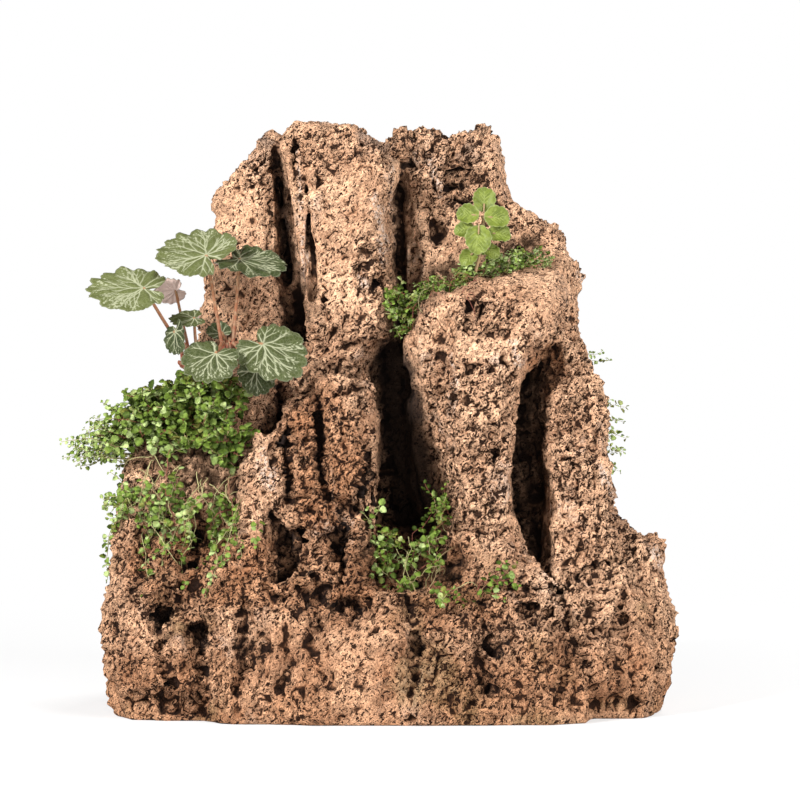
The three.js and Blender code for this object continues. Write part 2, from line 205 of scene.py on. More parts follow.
# Rounded bulges that meet in sharp creases
def creased(points, size, salt, layers=2):
    size = np.asarray(size)
    bulge = [np.abs(smoothNoise(points, size / 2 ** i, salt + i)) * 2 - 0.7 for i in range(layers)]
    return sum(value / 1.8 ** i for i, value in enumerate(bulge))


# 1 in the middle of a round pit, 0 outside it. A cell holds a pit with the given share; radii are in cells
def pitField(points, size, share, radii, salt):
    p = points / size
    home = np.floor(p).astype(np.int64)
    deepest = np.zeros(len(p))
    for step in itertools.product((-1, 0, 1), repeat=3):
        cell = home + np.array(step)
        middle = cell + np.stack([cellValue(cell, salt + i) for i in (1, 2, 3)], axis=1)
        radius = radii[0] + (radii[1] - radii[0]) * cellValue(cell, salt + 4) ** 2
        away = np.linalg.norm(p - middle, axis=1) / radius
        deepest = np.maximum(deepest, np.where(cellValue(cell, salt) < share, 1 - away, 0))
    return deepest


# 1 along winding cracks that come and go, 0 off them
def crackField(points, size, width, salt):
    winding = np.abs(smoothNoise(points, size, salt))
    broken = np.clip(2.5 * smoothNoise(points, size * 1.8, salt + 1) + 0.4, 0, 1)
    return np.clip(1 - winding / width, 0, 1) * broken


# The stone

# Carving done from the front is laid out on the upright plane y = 0, as it is seen from the viewing point
viewPoint = (6.2, -1070, 130)

# Shafts cut into the block, as a stack of level rounds: (x, y, z, half width), then how much deeper than wide
shafts = [
    ([(10, -36, 180, 2.5), (12, -36, 166, 6.5), (15, -35, 150, 10), (18, -34, 131, 11.5),
      (21.5, -33, 112, 12), (24, -33, 97, 11.5), (26, -35, 84, 8), (27, -36, 74, 3)], 1.3),
    ([(9, -18, 172, 4.5), (14, -16, 150, 9), (17, -16, 128, 10), (20, -18, 108, 11), (22, -18, 92, 8)], 1.2),
    ([(-58, -9, 290, 3), (-57, -9, 276, 5.4), (-55, -9, 262, 6.6), (-51.6, -9, 236, 7.2),
      (-47.6, -9, 205, 8.2), (-45.6, -9, 184, 7.6)], 2.4),
    ([(-43.4, -19, 284, 1.6), (-42, -19, 266, 2.4), (-40.6, -19, 244, 3), (-39, -19, 220, 3.2),
      (-38.4, -18, 204, 2.8)], 3.4),
    ([(72, -40, 106, 8), (71.5, -42, 95, 7.6), (74.5, -48, 80, 6), (78.5, -54, 70, 4),
      (82, -60, 61, 1.8)], 1.7),
    ([(-56, -66, 102, 3), (-52, -70, 90, 7), (-50, -74, 78, 8), (-53, -76, 66, 4)], 1.2),
    ([(-97, -52, 98, 2), (-96, -58, 86, 5.5), (-97, -62, 72, 5), (-101, -66, 60, 2)], 1.4),
    ([(-26, -74, 92, 2), (-26, -76, 84, 5), (-24, -78, 74, 5), (-24, -80, 66, 2)], 1.1),
]

# Lumps added to the block: middle, half sizes
lumps = [
    ((-84, 12, 261), (9.5, 16, 9)), ((-61, 15, 285), (9, 15, 12)), ((50, 34, 296), (7, 11, 8)),
    ((80, 22, 244), (11, 15, 8)), ((20, 30, 297), (9, 10, 5)), ((-36, 12, 297), (12, 14, 6)),
    ((-128, 6, 84), (9, 16, 20)), ((-134, -12, 34), (8, 20, 22)), ((128, -14, 30), (8, 20, 24)),
    ((-66, -72, 58), (18, 12, 11)), ((-14, -66, 56), (15, 12, 9)), ((38, -62, 54), (13, 14, 12)),
    ((92, -52, 54), (17, 14, 10)), ((-108, -60, 60), (14, 14, 12)), ((64, -66, 50), (10, 10, 8)),
]

# Channels: (across, height, half width) along each, then the depth where they are widest
channels = [
    ([(6.4, 280, 4), (7.4, 259, 6), (8, 239, 6.8), (9, 220, 7.6), (10, 203, 8), (6, 186, 7)], 9),
    ([(2, 184, 4), (2, 166, 7), (2, 146, 8), (2.5, 124, 8.5), (4, 104, 10), (8, 86, 12)], 15),
    ([(72, 182, 2), (73, 168, 6), (73, 130, 9.5), (74.6, 104, 9), (79, 80, 6), (85, 58, 2.4)], 16),
    ([(-60.5, 100, 2), (-55, 90, 5), (-50.5, 80, 7.5), (-49, 68, 6), (-52, 60, 3)], 12),
    ([(-30, 95, 2), (-26, 84, 4), (-25, 74, 4.6)], 9),
    ([(-98, 98, 2), (-96, 86, 5), (-97, 72, 4), (-101, 58, 2)], 9),
    ([(-114, 62, 2), (-118, 38, 6), (-113, 8, 3)], 10), ([(-76, 56, 2), (-72, 30, 7), (-78, 6, 3)], 10),
    ([(-34, 60, 3), (-38, 32, 5), (-30, 6, 3)], 7), ([(10, 56, 3), (16, 28, 7), (10, 4, 3)], 10),
    ([(50, 58, 2), (46, 30, 4), (52, 6, 5)], 8), ([(88, 56, 3), (94, 30, 7), (88, 6, 3)], 10),
    ([(122, 60, 2), (120, 32, 6), (125, 8, 2)], 8), ([(-54, 40, 2), (-50, 20, 4), (-56, 4, 3)], 5),
]

# Slits, in the same way
slits = [
    ([(-49.6, 291, 1.2), (-49, 284, 1.7), (-47.8, 272, 1)], 7),
    ([(-36.6, 158, 2.2), (-36, 148, 2.8), (-35.4, 130, 2.6), (-34.6, 112, 2), (-32.5, 104, 1.6)], 9),
    ([(-53, 141, 2.2), (-52.4, 124, 2.9), (-52, 112, 2.6), (-51.2, 103, 2.2)], 8),
    ([(-35.5, 105, 1.7), (-39, 98, 2.4)], 6),
    ([(-28, 157.5, 1.3), (-15, 161.5, 1.6)], 5),
    ([(-50, 154, 1), (-42, 157, 1.2)], 4),
    ([(-17, 100, 2), (-13, 118, 3), (-9, 128, 1.6)], 6),
    ([(-24, 60, 1.4), (-22, 78, 1.4), (-23, 92, 1)], 5),
    ([(-8, 118, 1.6), (-12, 100, 2.4), (-9, 84, 1.8)], 5),
    ([(30, 60, 1), (62, 58.5, 1.2), (96, 57, 1)], 2),
]

# Hollows: (across, height), half width and half height, depth
hollows = [
    ((-22, 99), (5.5, 5.5), 9), ((-50.8, 84), (7.5, 9.5), 12), ((-25.4, 77), (5, 5), 9),
    ((25.4, 243), (6, 8), 7), ((36, 270), (9, 18), 7), ((47.6, 205), (9, 6), 5), ((86, 173), (9, 12), 8),
    ((74.6, 44.5), (9.5, 6), 12), ((-19.7, 48), (10, 6.5), 12), ((-8, 66), (5, 6), 9), ((14, 60), (8, 4), 8),
    ((1, 282), (5, 3.4), 7), ((9, 277), (8, 3), 7), ((-11.4, 233.6), (2.8, 3), 5),
    ((-13.5, 226), (2.4, 2.2), 4), ((-19, 222), (2, 2.6), 4), ((-6, 216), (2.6, 2.4), 4),
    ((-96, 82), (9, 8), 10), ((-116, 92), (6, 7), 7), ((-38, 62), (6, 4), 8), ((106, 66), (5, 6), 7),
    ((36, 118), (4, 8), 4), ((52, 132), (4, 10), 4), ((96, 140), (5, 12), 4), ((112, 36), (8, 6), 8),
    ((44, 172), (6, 5), 3), ((-100, 36), (9, 6), 9), ((54, 30), (7, 4), 8), ((-64, 28), (8, 5), 8),
]

# Faces that weathered smoother than the rest, and those eaten out most: (across, height), half sizes
smoothFaces = [
    ((-18, 240), (22, 46)), ((-84, 245), (20, 34)), ((84, 222), (16, 22)), ((52, 186), (20, 12)),
]
eatenFaces = [
    ((-33, 112), (32, 54)), ((-40, 62), (70, 24)), ((12, 291), (26, 9)), ((52, 200), (20, 14)),
    ((118, 88), (24, 26)), ((-104, 62), (34, 30)), ((60, 50), (60, 18)), ((48, 118), (16, 40)),
    ((96, 130), (14, 34)), ((44, 160), (18, 14)), ((-10, 224), (10, 22)), ((36, 270), (20, 24)),
]

# Deep places whose walls are smoother than the rest: (across, height, half width) along each
smoothLines = [
    [(-57, 290, 5), (-54, 262, 7), (-48, 236, 10), (-45, 200, 11)],
    [(-41, 274, 4), (-40, 226, 5), (-39, 204, 5)],
    [(7, 280, 5), (8, 239, 6), (10, 203, 8), (8, 170, 11), (10, 130, 13), (16, 100, 15)],
    [(72, 176, 5), (73, 130, 8.5), (76, 104, 8.5), (80, 80, 5.5)],
]

# Where lime has dried pale on an edge, and where painted highlight stands on lit edges: (across, height, half
# width) along each
paleEdgeLines = [
    [(-6.5, 264, 1.6), (-5, 252, 2.6), (-3.6, 240, 3), (-2.4, 226, 1.4)],
    [(1.8, 278, 0.8), (1.4, 266, 1), (0.6, 254, 0.7)],
    [(-47.6, 285, 1), (-46.6, 272, 1.4), (-45.2, 254, 1.2), (-43.6, 236, 1), (-42.6, 216, 1)],
    [(22.5, 281, 1.4), (23.4, 272, 2), (28, 262, 1.4)],
    [(-14, 222, 2), (-12, 215, 2.4)],
    [(-66, 128, 3), (-63, 118, 5), (-61, 111, 3)],
    [(-29, 118, 1.4), (-28.6, 106, 1.2)],
    [(-36, 88, 4), (-22, 92, 3), (-19.5, 84, 1.4)],
    [(31.5, 180, 1.4), (35, 166, 1.2), (33, 150, 1.4)],
    [(64, 186, 2.4), (67, 176, 2.6)],
    [(100, 222, 3), (104, 214, 4)],
    [(108, 124, 1.6), (116, 110, 3.4), (120, 104, 2)],
    [(138, 80, 2), (140, 72, 3)],
]

# Where soil has gathered round roots, and where painted shade falls under the creepers: (across, height, half
# width) along each
soilAndShadeLines = [
    [(4, 198, 10), (16, 212, 9), (34, 224, 9), (56, 231, 9), (74, 236, 8)],
    [(-126, 140, 14), (-104, 138, 18), (-84, 128, 13)],
    [(-108, 118, 10), (-90, 112, 9)],
    [(-120, 128, 12), (-104, 120, 14), (-86, 112, 11)],
    [(-6, 78, 12), (14, 68, 12), (30, 66, 8)],
]

# The back of the great hollow, where the stone's colour is darkened nearly black as painted shade
caveShadeLine = [(1, 178, 10), (7, 155, 12), (7.5, 137, 14), (11.4, 119, 14), (14, 98, 16)]

# Damp stone: (across, height), half sizes
dampFaces = [
    ((-33, 118), (29, 50)), ((-28, 66), (82, 34)), ((-104, 70), (42, 30)), ((20, 52), (60, 18)),
    ((84, 172), (12, 14)),
]

rockLook = {
    "blockVoxel": 1.6, "blockSmoothing": 2,
    "voxel": 1.15, "smoothing": 1,
    "triangles": 197000,
    "fluteSize": (10, 10, 80), "fluteDepth": 1.5,
    "lumpSize": 22, "lumpDepth": 1.8,
    "bulgeSize": 9, "bulgeDepth": 1.9,
    "crumbSize": 3.4, "crumbDepth": 1.35,
    "warps": [(7, 3.2, 31), (2.6, 1.4, 41)],
    "slant": 38, "slantStretch": 1.7,  # degrees from upright, and how much longer than wide a small pit is
    "pits": [
        {"size": 23, "share": 0.18, "radii": (0.1, 0.24), "depth": 6},
        {"size": 10, "share": 0.42, "radii": (0.12, 0.32), "depth": 5},
        {"size": 5.4, "share": 0.5, "radii": (0.16, 0.4), "depth": 3.2},
        {"size": 3, "share": 0.62, "radii": (0.2, 0.46), "depth": 1.7},
    ],
    "cracks": [{"size": 13, "width": 0.12, "depth": 5}, {"size": 6, "width": 0.15, "depth": 2.6}],
    "rough": {"mean": 0.78, "swing": 0.5, "size": 34, "least": 0.4, "eaten": 1.15},
    "smoothed": {"faces": 0.6, "lines": 0.68},
    "frontEnds": (20, 8),  # how far back the front's own wear goes, and over how many millimetres it fades
    "caveShadeFrom": (-44, 12), "caveShadeTo": (38, 8),  # from front to back, in the same way
    "damp": {"height": 52, "fade": 34, "most": 0.85, "size": 12},
    "hollow": {"rounds": 3, "scale": 0.8}, "recess": {"rounds": 40, "scale": 5},
    "shadeRays": 14, "shadeReach": 45, "shadeSeed": 17,
}


# How far each point lies from a line of (across, height, half width) knots, in half widths, and how wide
# the line is there, as a share of its greatest width
def lineDistance(u, v, line):
    nearest = np.full(len(u), 9.0)
    share = np.zeros(len(u))
    widest = max(w for _, _, w in line)
    for (u0, v0, w0), (u1, v1, w1) in zip(line, line[1:]):
        t, away = toSegment(u, v, u0, v0, u1, v1)
        width = w0 + t * (w1 - w0)
        share = np.where(away / width < nearest, width / widest, share)
        nearest = np.minimum(nearest, away / width)
    return nearest, share


def roundDistance(u, v, middle, halves):
    return np.hypot((u - middle[0]) / halves[0], (v - middle[1]) / halves[1])


# 1 inside a line or a round face and 0 outside it; the edge is sharper with a larger sharpness
def withinLine(u, v, line, sharpness, reach=1):
    return np.clip(sharpness * (reach - lineDistance(u, v, line)[0]), 0, 1)


def withinRound(u, v, face, sharpness, power):
    return np.clip(sharpness * (1 - roundDistance(u, v, *face) ** power), 0, 1)


def seenFromFront(points):
    near = 1 + points[:, 1] / -viewPoint[1]
    u = viewPoint[0] + (points[:, 0] - viewPoint[0]) / near
    v = viewPoint[2] + (points[:, 2] - viewPoint[2]) / near
    return u, v


def facingFront(normals):
    return np.clip(-normals[:, 1] * 2 + 0.6, 0, 1)


def domed(away):
    return np.sqrt(np.clip(1 - away ** 2, 0, 1))


def carve(points, normals, lines, rounds):
    bent = warped(warped(points, 9, 2, salts["carving"]), 4, 1.1, salts["carvingFine"])
    u, v = seenFromFront(bent)
    depth = np.zeros(len(points))
    for line, deep in lines:
        away, width = lineDistance(u, v, line)
        depth = np.maximum(depth, deep * width * domed(away))
    for middle, halves, deep in rounds:
        depth = np.maximum(depth, deep * domed(roundDistance(u, v, middle, halves)))
    return depth * np.clip(-normals[:, 1] / 0.3, 0, 1)


# 0 on the smoothest faces, 1 on the roughest
def roughness(points, normals, look):
    u, v = seenFromFront(points)
    kind, smoothed, facing = look["rough"], look["smoothed"], facingFront(normals)
    uneven = kind["swing"] * smoothNoise(points, kind["size"], salts["roughness"])
    rough = np.clip(kind["mean"] + uneven, kind["least"], 1)
    for face in smoothFaces:
        rough = rough * (1 - smoothed["faces"] * withinRound(u, v, face, 1.4, 3) * facing)
    for face in eatenFaces:
        rough = np.maximum(rough, kind["eaten"] * withinRound(u, v, face, 2, 3) * facing)
    end, fading = look["frontEnds"]
    inFront = np.clip((end - points[:, 1]) / fading, 0, 1)
    for line in smoothLines:
        rough = rough * (1 - smoothed["lines"] * withinLine(u, v, line, 2.5) * inFront)
    return rough


# Closed stacks of level rounds
def shaftArrays(rounds, stretch, sides=14):
    turn = circleTurns(sides)
    ring = np.stack([np.cos(turn), stretch * np.sin(turn), 0 * turn], axis=1)
    points = np.concatenate([ring * halfWidth + [x, y, z] for x, y, z, halfWidth in rounds[::-1]])
    return points, tubeFaces(len(rounds), sides)


def cutBlock(block):
    cutter = Pile()
    for rounds, stretch in shafts:
        cutter.add(*shaftArrays(rounds, stretch))
    tool = cutter.piece("shafts")
    keepModifier(block, "BOOLEAN", operation="DIFFERENCE", object=tool, solver="EXACT", use_self=True)
    bpy.data.objects.remove(tool)


def addLumps(block):
    for middle, halves in lumps:
        bpy.ops.mesh.primitive_ico_sphere_add(subdivisions=3, radius=mm)
        lump = bpy.context.object
        lump.location = np.array(middle) * mm
        lump.scale = halves
        keepModifier(block, "BOOLEAN", operation="UNION", object=lump, solver="EXACT")
        bpy.data.objects.remove(lump)


def shapeBlock(mesh, look):
    points = readPoints(mesh)
    normals = readNormals(mesh)
    steep = 1 - np.clip(np.abs(normals[:, 2]), 0, 1) ** 2
    above = np.clip(points[:, 2] / 6, 0, 1)
    flutes = 0.9 - 2.4 * np.abs(smoothNoise(points, look["fluteSize"], salts["flutes"]))
    lumps = layeredNoise(points, look["lumpSize"], salts["lumps"])
    bulges = creased(points, look["bulgeSize"] * np.array([1, 1, 1.5]), salts["bulges"])
    bulges = bulges * roughness(points, normals, look)
    out = look["fluteDepth"] * flutes * steep + look["lumpDepth"] * lumps + look["bulgeDepth"] * bulges
    carved = carve(points, normals, channels, hollows)
    points += normals * (out * above)[:, None]
    points[:, 1] += carved
    points[:, 2] = np.maximum(points[:, 2], 0)
    writePoints(mesh, points)


# Squeezes space along the slant, so that pits laid out in it come out longer that way
def slanted(points, look):
    slant = math.radians(look["slant"])
    way = np.array([math.sin(slant), 0, math.cos(slant)])
    return points - np.outer(points @ way, way) * (1 - 1 / look["slantStretch"])


def pitStone(mesh, look):
    points = readPoints(mesh)
    normals = readNormals(mesh)
    points[:, 1] += carve(points, normals, slits, [])
    writePoints(mesh, points)
    normals = readNormals(mesh)
    above = np.clip(points[:, 2] / 2 - 0.2, 0, 1)
    rough = roughness(points, normals, look)
    bent = points
    for size, depth, salt in look["warps"]:
        bent = warped(bent, size, depth, salt)
    bent = slanted(bent, look)
    down = np.zeros(len(points))
    for i, pit in enumerate(look["pits"]):
        field = pitField(bent, pit["size"], pit["share"], pit["radii"], salts["pits"] + 10 * i)
        down = np.maximum(down, pit["depth"] * np.clip(field * 2.4, 0, 1) ** 0.8)
    for i, crack in enumerate(look["cracks"]):
        field = crackField(bent, crack["size"], crack["width"], salts["cracks"] + 10 * i)
        down = np.maximum(down, crack["depth"] * field * np.clip(rough * 2 - 0.8, 0, 1))
    crumbs = creased(points, look["crumbSize"], salts["crumbs"])
    out = look["crumbDepth"] * crumbs * rough - down * (0.25 + 0.75 * rough)
    points += normals * (out * above)[:, None]
    points[:, 2] = np.maximum(points[:, 2], 0)
    writePoints(mesh, points)


# How far each point lies below the surface round it, smoothed over some rounds: below 0 on a ridge
def hollowness(mesh, rounds, scale):
    points = readPoints(mesh)
    ends = readArray(mesh.edges, "vertices", 2, np.int32)
    a, b = ends.T
    count = np.bincount(ends.ravel(), minlength=len(points))[:, None] + 1
    smoothed = points.copy()
    for _ in range(rounds):
        total = smoothed.copy()
        for i in range(3):
            total[:, i] += np.bincount(a, smoothed[b, i], len(points))
            total[:, i] += np.bincount(b, smoothed[a, i], len(points))
        smoothed = total / count
    return np.clip(np.sum((smoothed - points) * readNormals(mesh), axis=1) / scale, -1, 1)


# The share of directions from each point in which the stone itself stands close by; the stone's material
# darkens by it as painted shade
def occlusionShade(mesh, tree, look):
    points = readPoints(mesh)
    normals = readNormals(mesh)
    rng = np.random.default_rng(look["shadeSeed"])
    blocked = np.zeros(len(points))
    starts = [Vector(p) for p in (points + normals * 0.8).tolist()]
    cast, reach = tree.ray_cast, look["shadeReach"]
    for _ in range(look["shadeRays"]):
        rays = unit(normals + unit(rng.normal(size=points.shape)) * 0.98)
        blocked += [cast(s, Vector(r), reach)[0] is not None for s, r in zip(starts, rays.tolist())]
    return blocked / look["shadeRays"]


# How near each point is to any of the lines: 1 on a line, 0 from its edge outwards
def alongLines(points, normals, lines, sharpness=1.6):
    u, v = seenFromFront(warped(points, 6, 2.2, salts["lines"]))
    near = np.zeros(len(points))
    for line in lines:
        near = np.maximum(near, withinLine(u, v, line, sharpness, 1.2))
    return near * facingFront(normals)


def dampness(points, normals, look):
    u, v = seenFromFront(warped(points, 16, 7, salts["damp"]))
    damp = np.clip((look["height"] - v) / look["fade"], 0, look["most"])
    for face in dampFaces:
        damp = np.maximum(damp, withinRound(u, v, face, 1.8, 2) * facingFront(normals))
    return damp * np.clip(0.85 + 0.5 * smoothNoise(points, look["size"], salts["dampStrength"]), 0.4, 1)


# Keeps only the largest connected part of a mesh
def dropScraps(mesh):
    shape = bmesh.new()
    shape.from_mesh(mesh)
    waiting, parts = set(shape.verts), []
    while waiting:
        part, fresh = set(), {waiting.pop()}
        while fresh:
            part |= fresh
            fresh = {edge.other_vert(v) for v in fresh for edge in v.link_edges} & waiting
            waiting -= fresh
        parts.append(part)
    parts.sort(key=len)
    bmesh.ops.delete(shape, geom=[v for part in parts[:-1] for v in part], context="VERTS")
    shape.to_mesh(mesh)
    shape.free()


# 1 deep in the great hollow, 0 outside it: where painted shade darkens the stone
def paintedCaveShade(points, look):
    u, v = seenFromFront(warped(points, 6, 2.2, salts["paintedCaveShade"]))
    (start, coming), (end, going) = look["caveShadeFrom"], look["caveShadeTo"]
    behind = np.clip((points[:, 1] - start) / coming, 0, 1)
    before = np.clip((end - points[:, 1]) / going, 0, 1)
    return withinLine(u, v, caveShadeLine, 2.5, 1.1) * behind * before


# Rebuilds a mesh from even cells, so that it can be shaped finely, and softens their steps
def evenOut(rock, voxel, smoothing):
    keepModifier(rock, "REMESH", mode="VOXEL", voxel_size=voxel * mm)
    keepModifier(rock, "SMOOTH", factor=0.5, iterations=smoothing)


def makeRock(look):
    rock = addObject("tufa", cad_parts["rock"].data.copy())
    addLumps(rock)
    cutBlock(rock)
    evenOut(rock, look["blockVoxel"], look["blockSmoothing"])
    shapeBlock(rock.data, look)
    evenOut(rock, look["voxel"], look["smoothing"])
    print("block shaped:", len(rock.data.vertices), "points")
    pitStone(rock.data, look)
    faces = sum(len(p.vertices) - 2 for p in rock.data.polygons)
    keepModifier(rock, "DECIMATE", ratio=look["triangles"] / faces, use_collapse_triangulate=True)
    dropScraps(rock.data)
    print("rock carved:", len(rock.data.polygons), "triangles")
    tree = surfaceTree(rock)
    mesh = rock.data
    points, normals = readPoints(mesh), readNormals(mesh)
    marks = {
        "hollow": hollowness(mesh, **look["hollow"]),
        "recess": hollowness(mesh, **look["recess"]),
        "occlusionShade": occlusionShade(mesh, tree, look),
        "rough": roughness(points, normals, look),
        "limeAndHighlight": alongLines(points, normals, paleEdgeLines),
        "soilAndShade": alongLines(points, normals, soilAndShadeLines, 1.1),
        "damp": dampness(points, normals, look["damp"]),
        "paintedCaveShade": paintedCaveShade(points, look),
    }
    for name, values in marks.items():
        addMark(mesh, name, values)
    mesh.shade_smooth()
    return rock, tree


# Stalks, stems and blades

# A tube along a path, closed at both ends
def tubeArrays(path, radii, sides):
    path = np.asarray(path, float)
    count = len(path)
    radii = np.broadcast_to(radii, (count,))
    along = unit(np.gradient(path, axis=0))
    across = np.zeros_like(path)
    across[0] = unit(np.cross(along[0], (0.13, 0.91, 0.37)))
    for i in range(1, count):
        across[i] = unit(across[i - 1] - along[i] * np.dot(across[i - 1], along[i]))
    other = np.cross(along, across)
    turn = circleTurns(sides)
    ring = across[:, None] * np.cos(turn)[None, :, None] + other[:, None] * np.sin(turn)[None, :, None]
    points = (path[:, None] + ring * radii[:, None, None]).reshape(-1, 3)
    return points, tubeFaces(count, sides)


def tubeFaces(count, sides):
    i = np.arange(sides)
    j = (i + 1) % sides
    triangles = []
    for k in range(count - 1):
        low, high = k * sides, (k + 1) * sides
        triangles.append(np.stack([low + i, low + j, high + j], 1))
        triangles.append(np.stack([low + i, high + j, high + i], 1))
    last = (count - 1) * sides
    middle = np.arange(1, sides - 1)
    triangles.append(np.stack([np.zeros_like(middle), middle + 1, middle], 1))
    triangles.append(np.stack([np.full_like(middle, last), last + middle, last + middle + 1], 1))
    return np.concatenate(triangles)


def smoothPath(knots, steps):
    knots = np.asarray(knots, float)
    ends = np.concatenate([[2 * knots[0] - knots[1]], knots, [2 * knots[-1] - knots[-2]]])
    path = []
    for a, b, c, d in zip(ends, ends[1:], ends[2:], ends[3:]):
        for t in np.arange(steps) / steps:
            bend = (2 * a - 5 * b + 4 * c - d) * t ** 2 + (3 * b - a - 3 * c + d) * t ** 3
            path.append(0.5 * (2 * b + (c - a) * t + bend))
    return np.array(path + [knots[-1]])


# A thin closed blade: outline(turn) is its reach, relief(x, y, share) its height at a share of the way out
def bladeArrays(outline, relief, thickness, rings, around):
    turn = (np.arange(around) + 0.5) / around * 2 * math.pi - math.pi
    share = (np.arange(1, rings + 1) / rings) ** 0.85
    turns, shares = (grid.ravel() for grid in np.meshgrid(turn, share))
    out = shares * np.tile(outline(turn), rings)
    x, y = out * np.cos(turns), out * np.sin(turns)
    top = np.stack([x, y, relief(x, y, shares)], 1)
    inner = (rings - 1) * around
    under = top[:inner] - (1 - shares[:inner] ** 10)[:, None] * np.array([0, 0, thickness])
    middle = np.array([[0, 0, relief(np.zeros(1), np.zeros(1), np.zeros(1))[0]]])
    points = np.concatenate([top, under, middle, middle - [[0, 0, thickness]]])
    centre, below = len(points) - 2, len(points) - 1
    i = np.arange(around)
    j = (i + 1) % around
    shift = rings * around
    triangles = [np.stack([np.full_like(i, centre), i, j], 1),
                 np.stack([np.full_like(i, below), shift + j, shift + i], 1)]
    for k in range(rings - 1):
        a, b = k * around, (k + 1) * around
        triangles += [np.stack([a + i, b + i, b + j], 1), np.stack([a + i, b + j, a + j], 1)]
        a, b = shift + k * around, shift + (k + 1) * around
        if k == rings - 2:
            b = (rings - 1) * around
        triangles += [np.stack([a + i, b + j, b + i], 1), np.stack([a + i, a + j, b + j], 1)]
    shareOf = np.concatenate([shares, shares[:inner], [0, 0]])
    underOf = np.concatenate([np.zeros(shift), np.ones(inner), [0, 1]])
    return points, np.concatenate(triangles), shareOf, underOf


# Turns a blade from its own axes (tip, side, face) into the frame's
def placed(points, at, tip, up):
    face = unit(up)
    forward = unit(np.asarray(tip, float) - face * np.dot(tip, face))
    return np.asarray(at, float) + points @ np.stack([forward, np.cross(face, forward), face])


# Grows veins from a point over a blade: a list of (x0, y0, x1, y1, width)
def growVeins(start, heading, length, width, forks, rng):
    veins = []
    steps = max(3, int(length / 2))
    bend = rng.normal(0, 0.035)
    side = rng.choice((-1, 1))
    point = np.asarray(start, float)
    for i in range(steps):
        heading += bend + rng.normal(0, 0.08)
        following = point + length / steps * np.array([math.cos(heading), math.sin(heading)])
        veins.append((*point, *following, width * (1 - 0.65 * (i + 0.5) / steps)))
        point = following
        left = length * (1 - (i + 1) / steps)
        if forks and i > 0 and left > 2 and rng.uniform() < 0.7:
            turned = heading + side * rng.uniform(0.35, 0.6)
            veins += growVeins(point, turned, left * 0.9, width * 0.7, forks - 1, rng)
            side = -side
    return veins


# How near points are to a vein: 1 on it, fading over its width times spread
def nearVeins(x, y, veins, spread, least=0.0):
    nearest = np.zeros(len(x))
    for x0, y0, x1, y1, width in veins:
        away = toSegment(x, y, x0, y0, x1, y1)[1]
        nearest = np.maximum(nearest, np.exp(-(away / np.maximum(width * spread, least)) ** 2))
    return nearest


saxifrageLook = {
    "rings": (10, 0.75), "around": (60, 5),  # at no reach, and more for each millimetre of it
    "lobes": 17, "lobeDepth": 0.1, "toothDepth": 0.03, "notch": 0.88, "notchWidth": 0.46, "breadth": 0.9,
    "veins": 9, "veinSpan": 148, "veinWidth": 0.5,
    "thickness": 0.7, "cup": 0.1, "ruffle": 0.022, "droop": 0.13, "pucker": 0.8,
    "stalkRadius": 0.95,
    "footHeight": 1.5, "footReach": 2.4, "riseHeight": 9, "riseReach": 4, "bend": 0.5,
    "seed": 3,
}

# Where the two root crowns sit, and for each leaf: its crown, the bearing its stalk leaves at, where the
# stalk meets the blade, the way the tip and the upper face point, the reach from there to the tip, how pale
saxifrageCrowns = {"crown_right": (-79, -45, 174), "crown_left": (-99, -46, 172)}
saxifrageLeaves = {
    "leaf_top": ("crown_right", 150, (-90, -46, 227), (-0.75, 0.3, 0.5), (-0.1, -0.68, 0.72), 27, 0.9),
    "leaf_high_right": ("crown_right", 60, (-74, -38, 226), (0.85, -0.5, -0.2), (0.05, -0.46, 0.88), 24, 0.1),
    "leaf_far_left": ("crown_left", 190, (-120, -55, 210), (-0.97, -0.15, 0.12), (0.02, -0.6, 0.8), 27, 1.0),
    "leaf_turned": ("crown_left", 95, (-107, -30, 211), (-0.7, 0.2, -0.1), (-0.1, 0.72, 0.68), 11.5, 0.6),
    "leaf_small_left": ("crown_left", 20, (-96, -46, 196), (-0.85, -0.35, 0.05), (0, -0.55, 0.83), 12, 0.4),
    "leaf_small_back": ("crown_right", 105, (-83, -34, 189), (-0.7, 0.2, 0.5), (0.1, -0.75, 0.65), 8.5, 0.1),
    "leaf_folded": ("crown_left", 260, (-104, -62, 188), (0.2, -0.3, -0.9), (-0.75, -0.6, 0.1), 12, 0),
    "leaf_front_left":
        ("crown_right", 230, (-83, -70, 177), (-0.45, -0.55, -0.6), (0.02, -0.75, 0.66), 19, 0.3),
    "leaf_front_right":
        ("crown_right", 345, (-61, -58, 182), (0.72, -0.42, -0.5), (0.1, -0.78, 0.62), 24, 0.35),
    "leaf_hanging": ("crown_right", 300, (-64, -57, 170), (0.04, -0.1, -0.95), (0.1, -0.94, 0.12), 13, 0.1),
}


# The margin's distance from the stalk, as a share of the reach, at each turn from the tip
def saxifrageMargin(turn, look, phases):
    notch = np.exp(-(((math.pi - np.abs(turn)) / look["notchWidth"]) ** 2))
    shifted = turn + 0.07 * np.sin(3 * turn + phases[0])
    lobe = np.abs(np.cos(shifted * look["lobes"] / 2)) ** 0.8 - 0.6
    tooth = np.abs(np.cos(shifted * look["lobes"] * 1.5 + 0.6)) ** 0.7 - 0.6
    uneven = 1 + 0.025 * np.sin(3 * turn + phases[1]) + 0.02 * np.sin(5 * turn + phases[2])
    body = (0.74 + 0.26 * np.cos(turn)) * (1 - look["notch"] * notch) * uneven
    return body * (1 + look["lobeDepth"] * lobe + look["toothDepth"] * tooth)


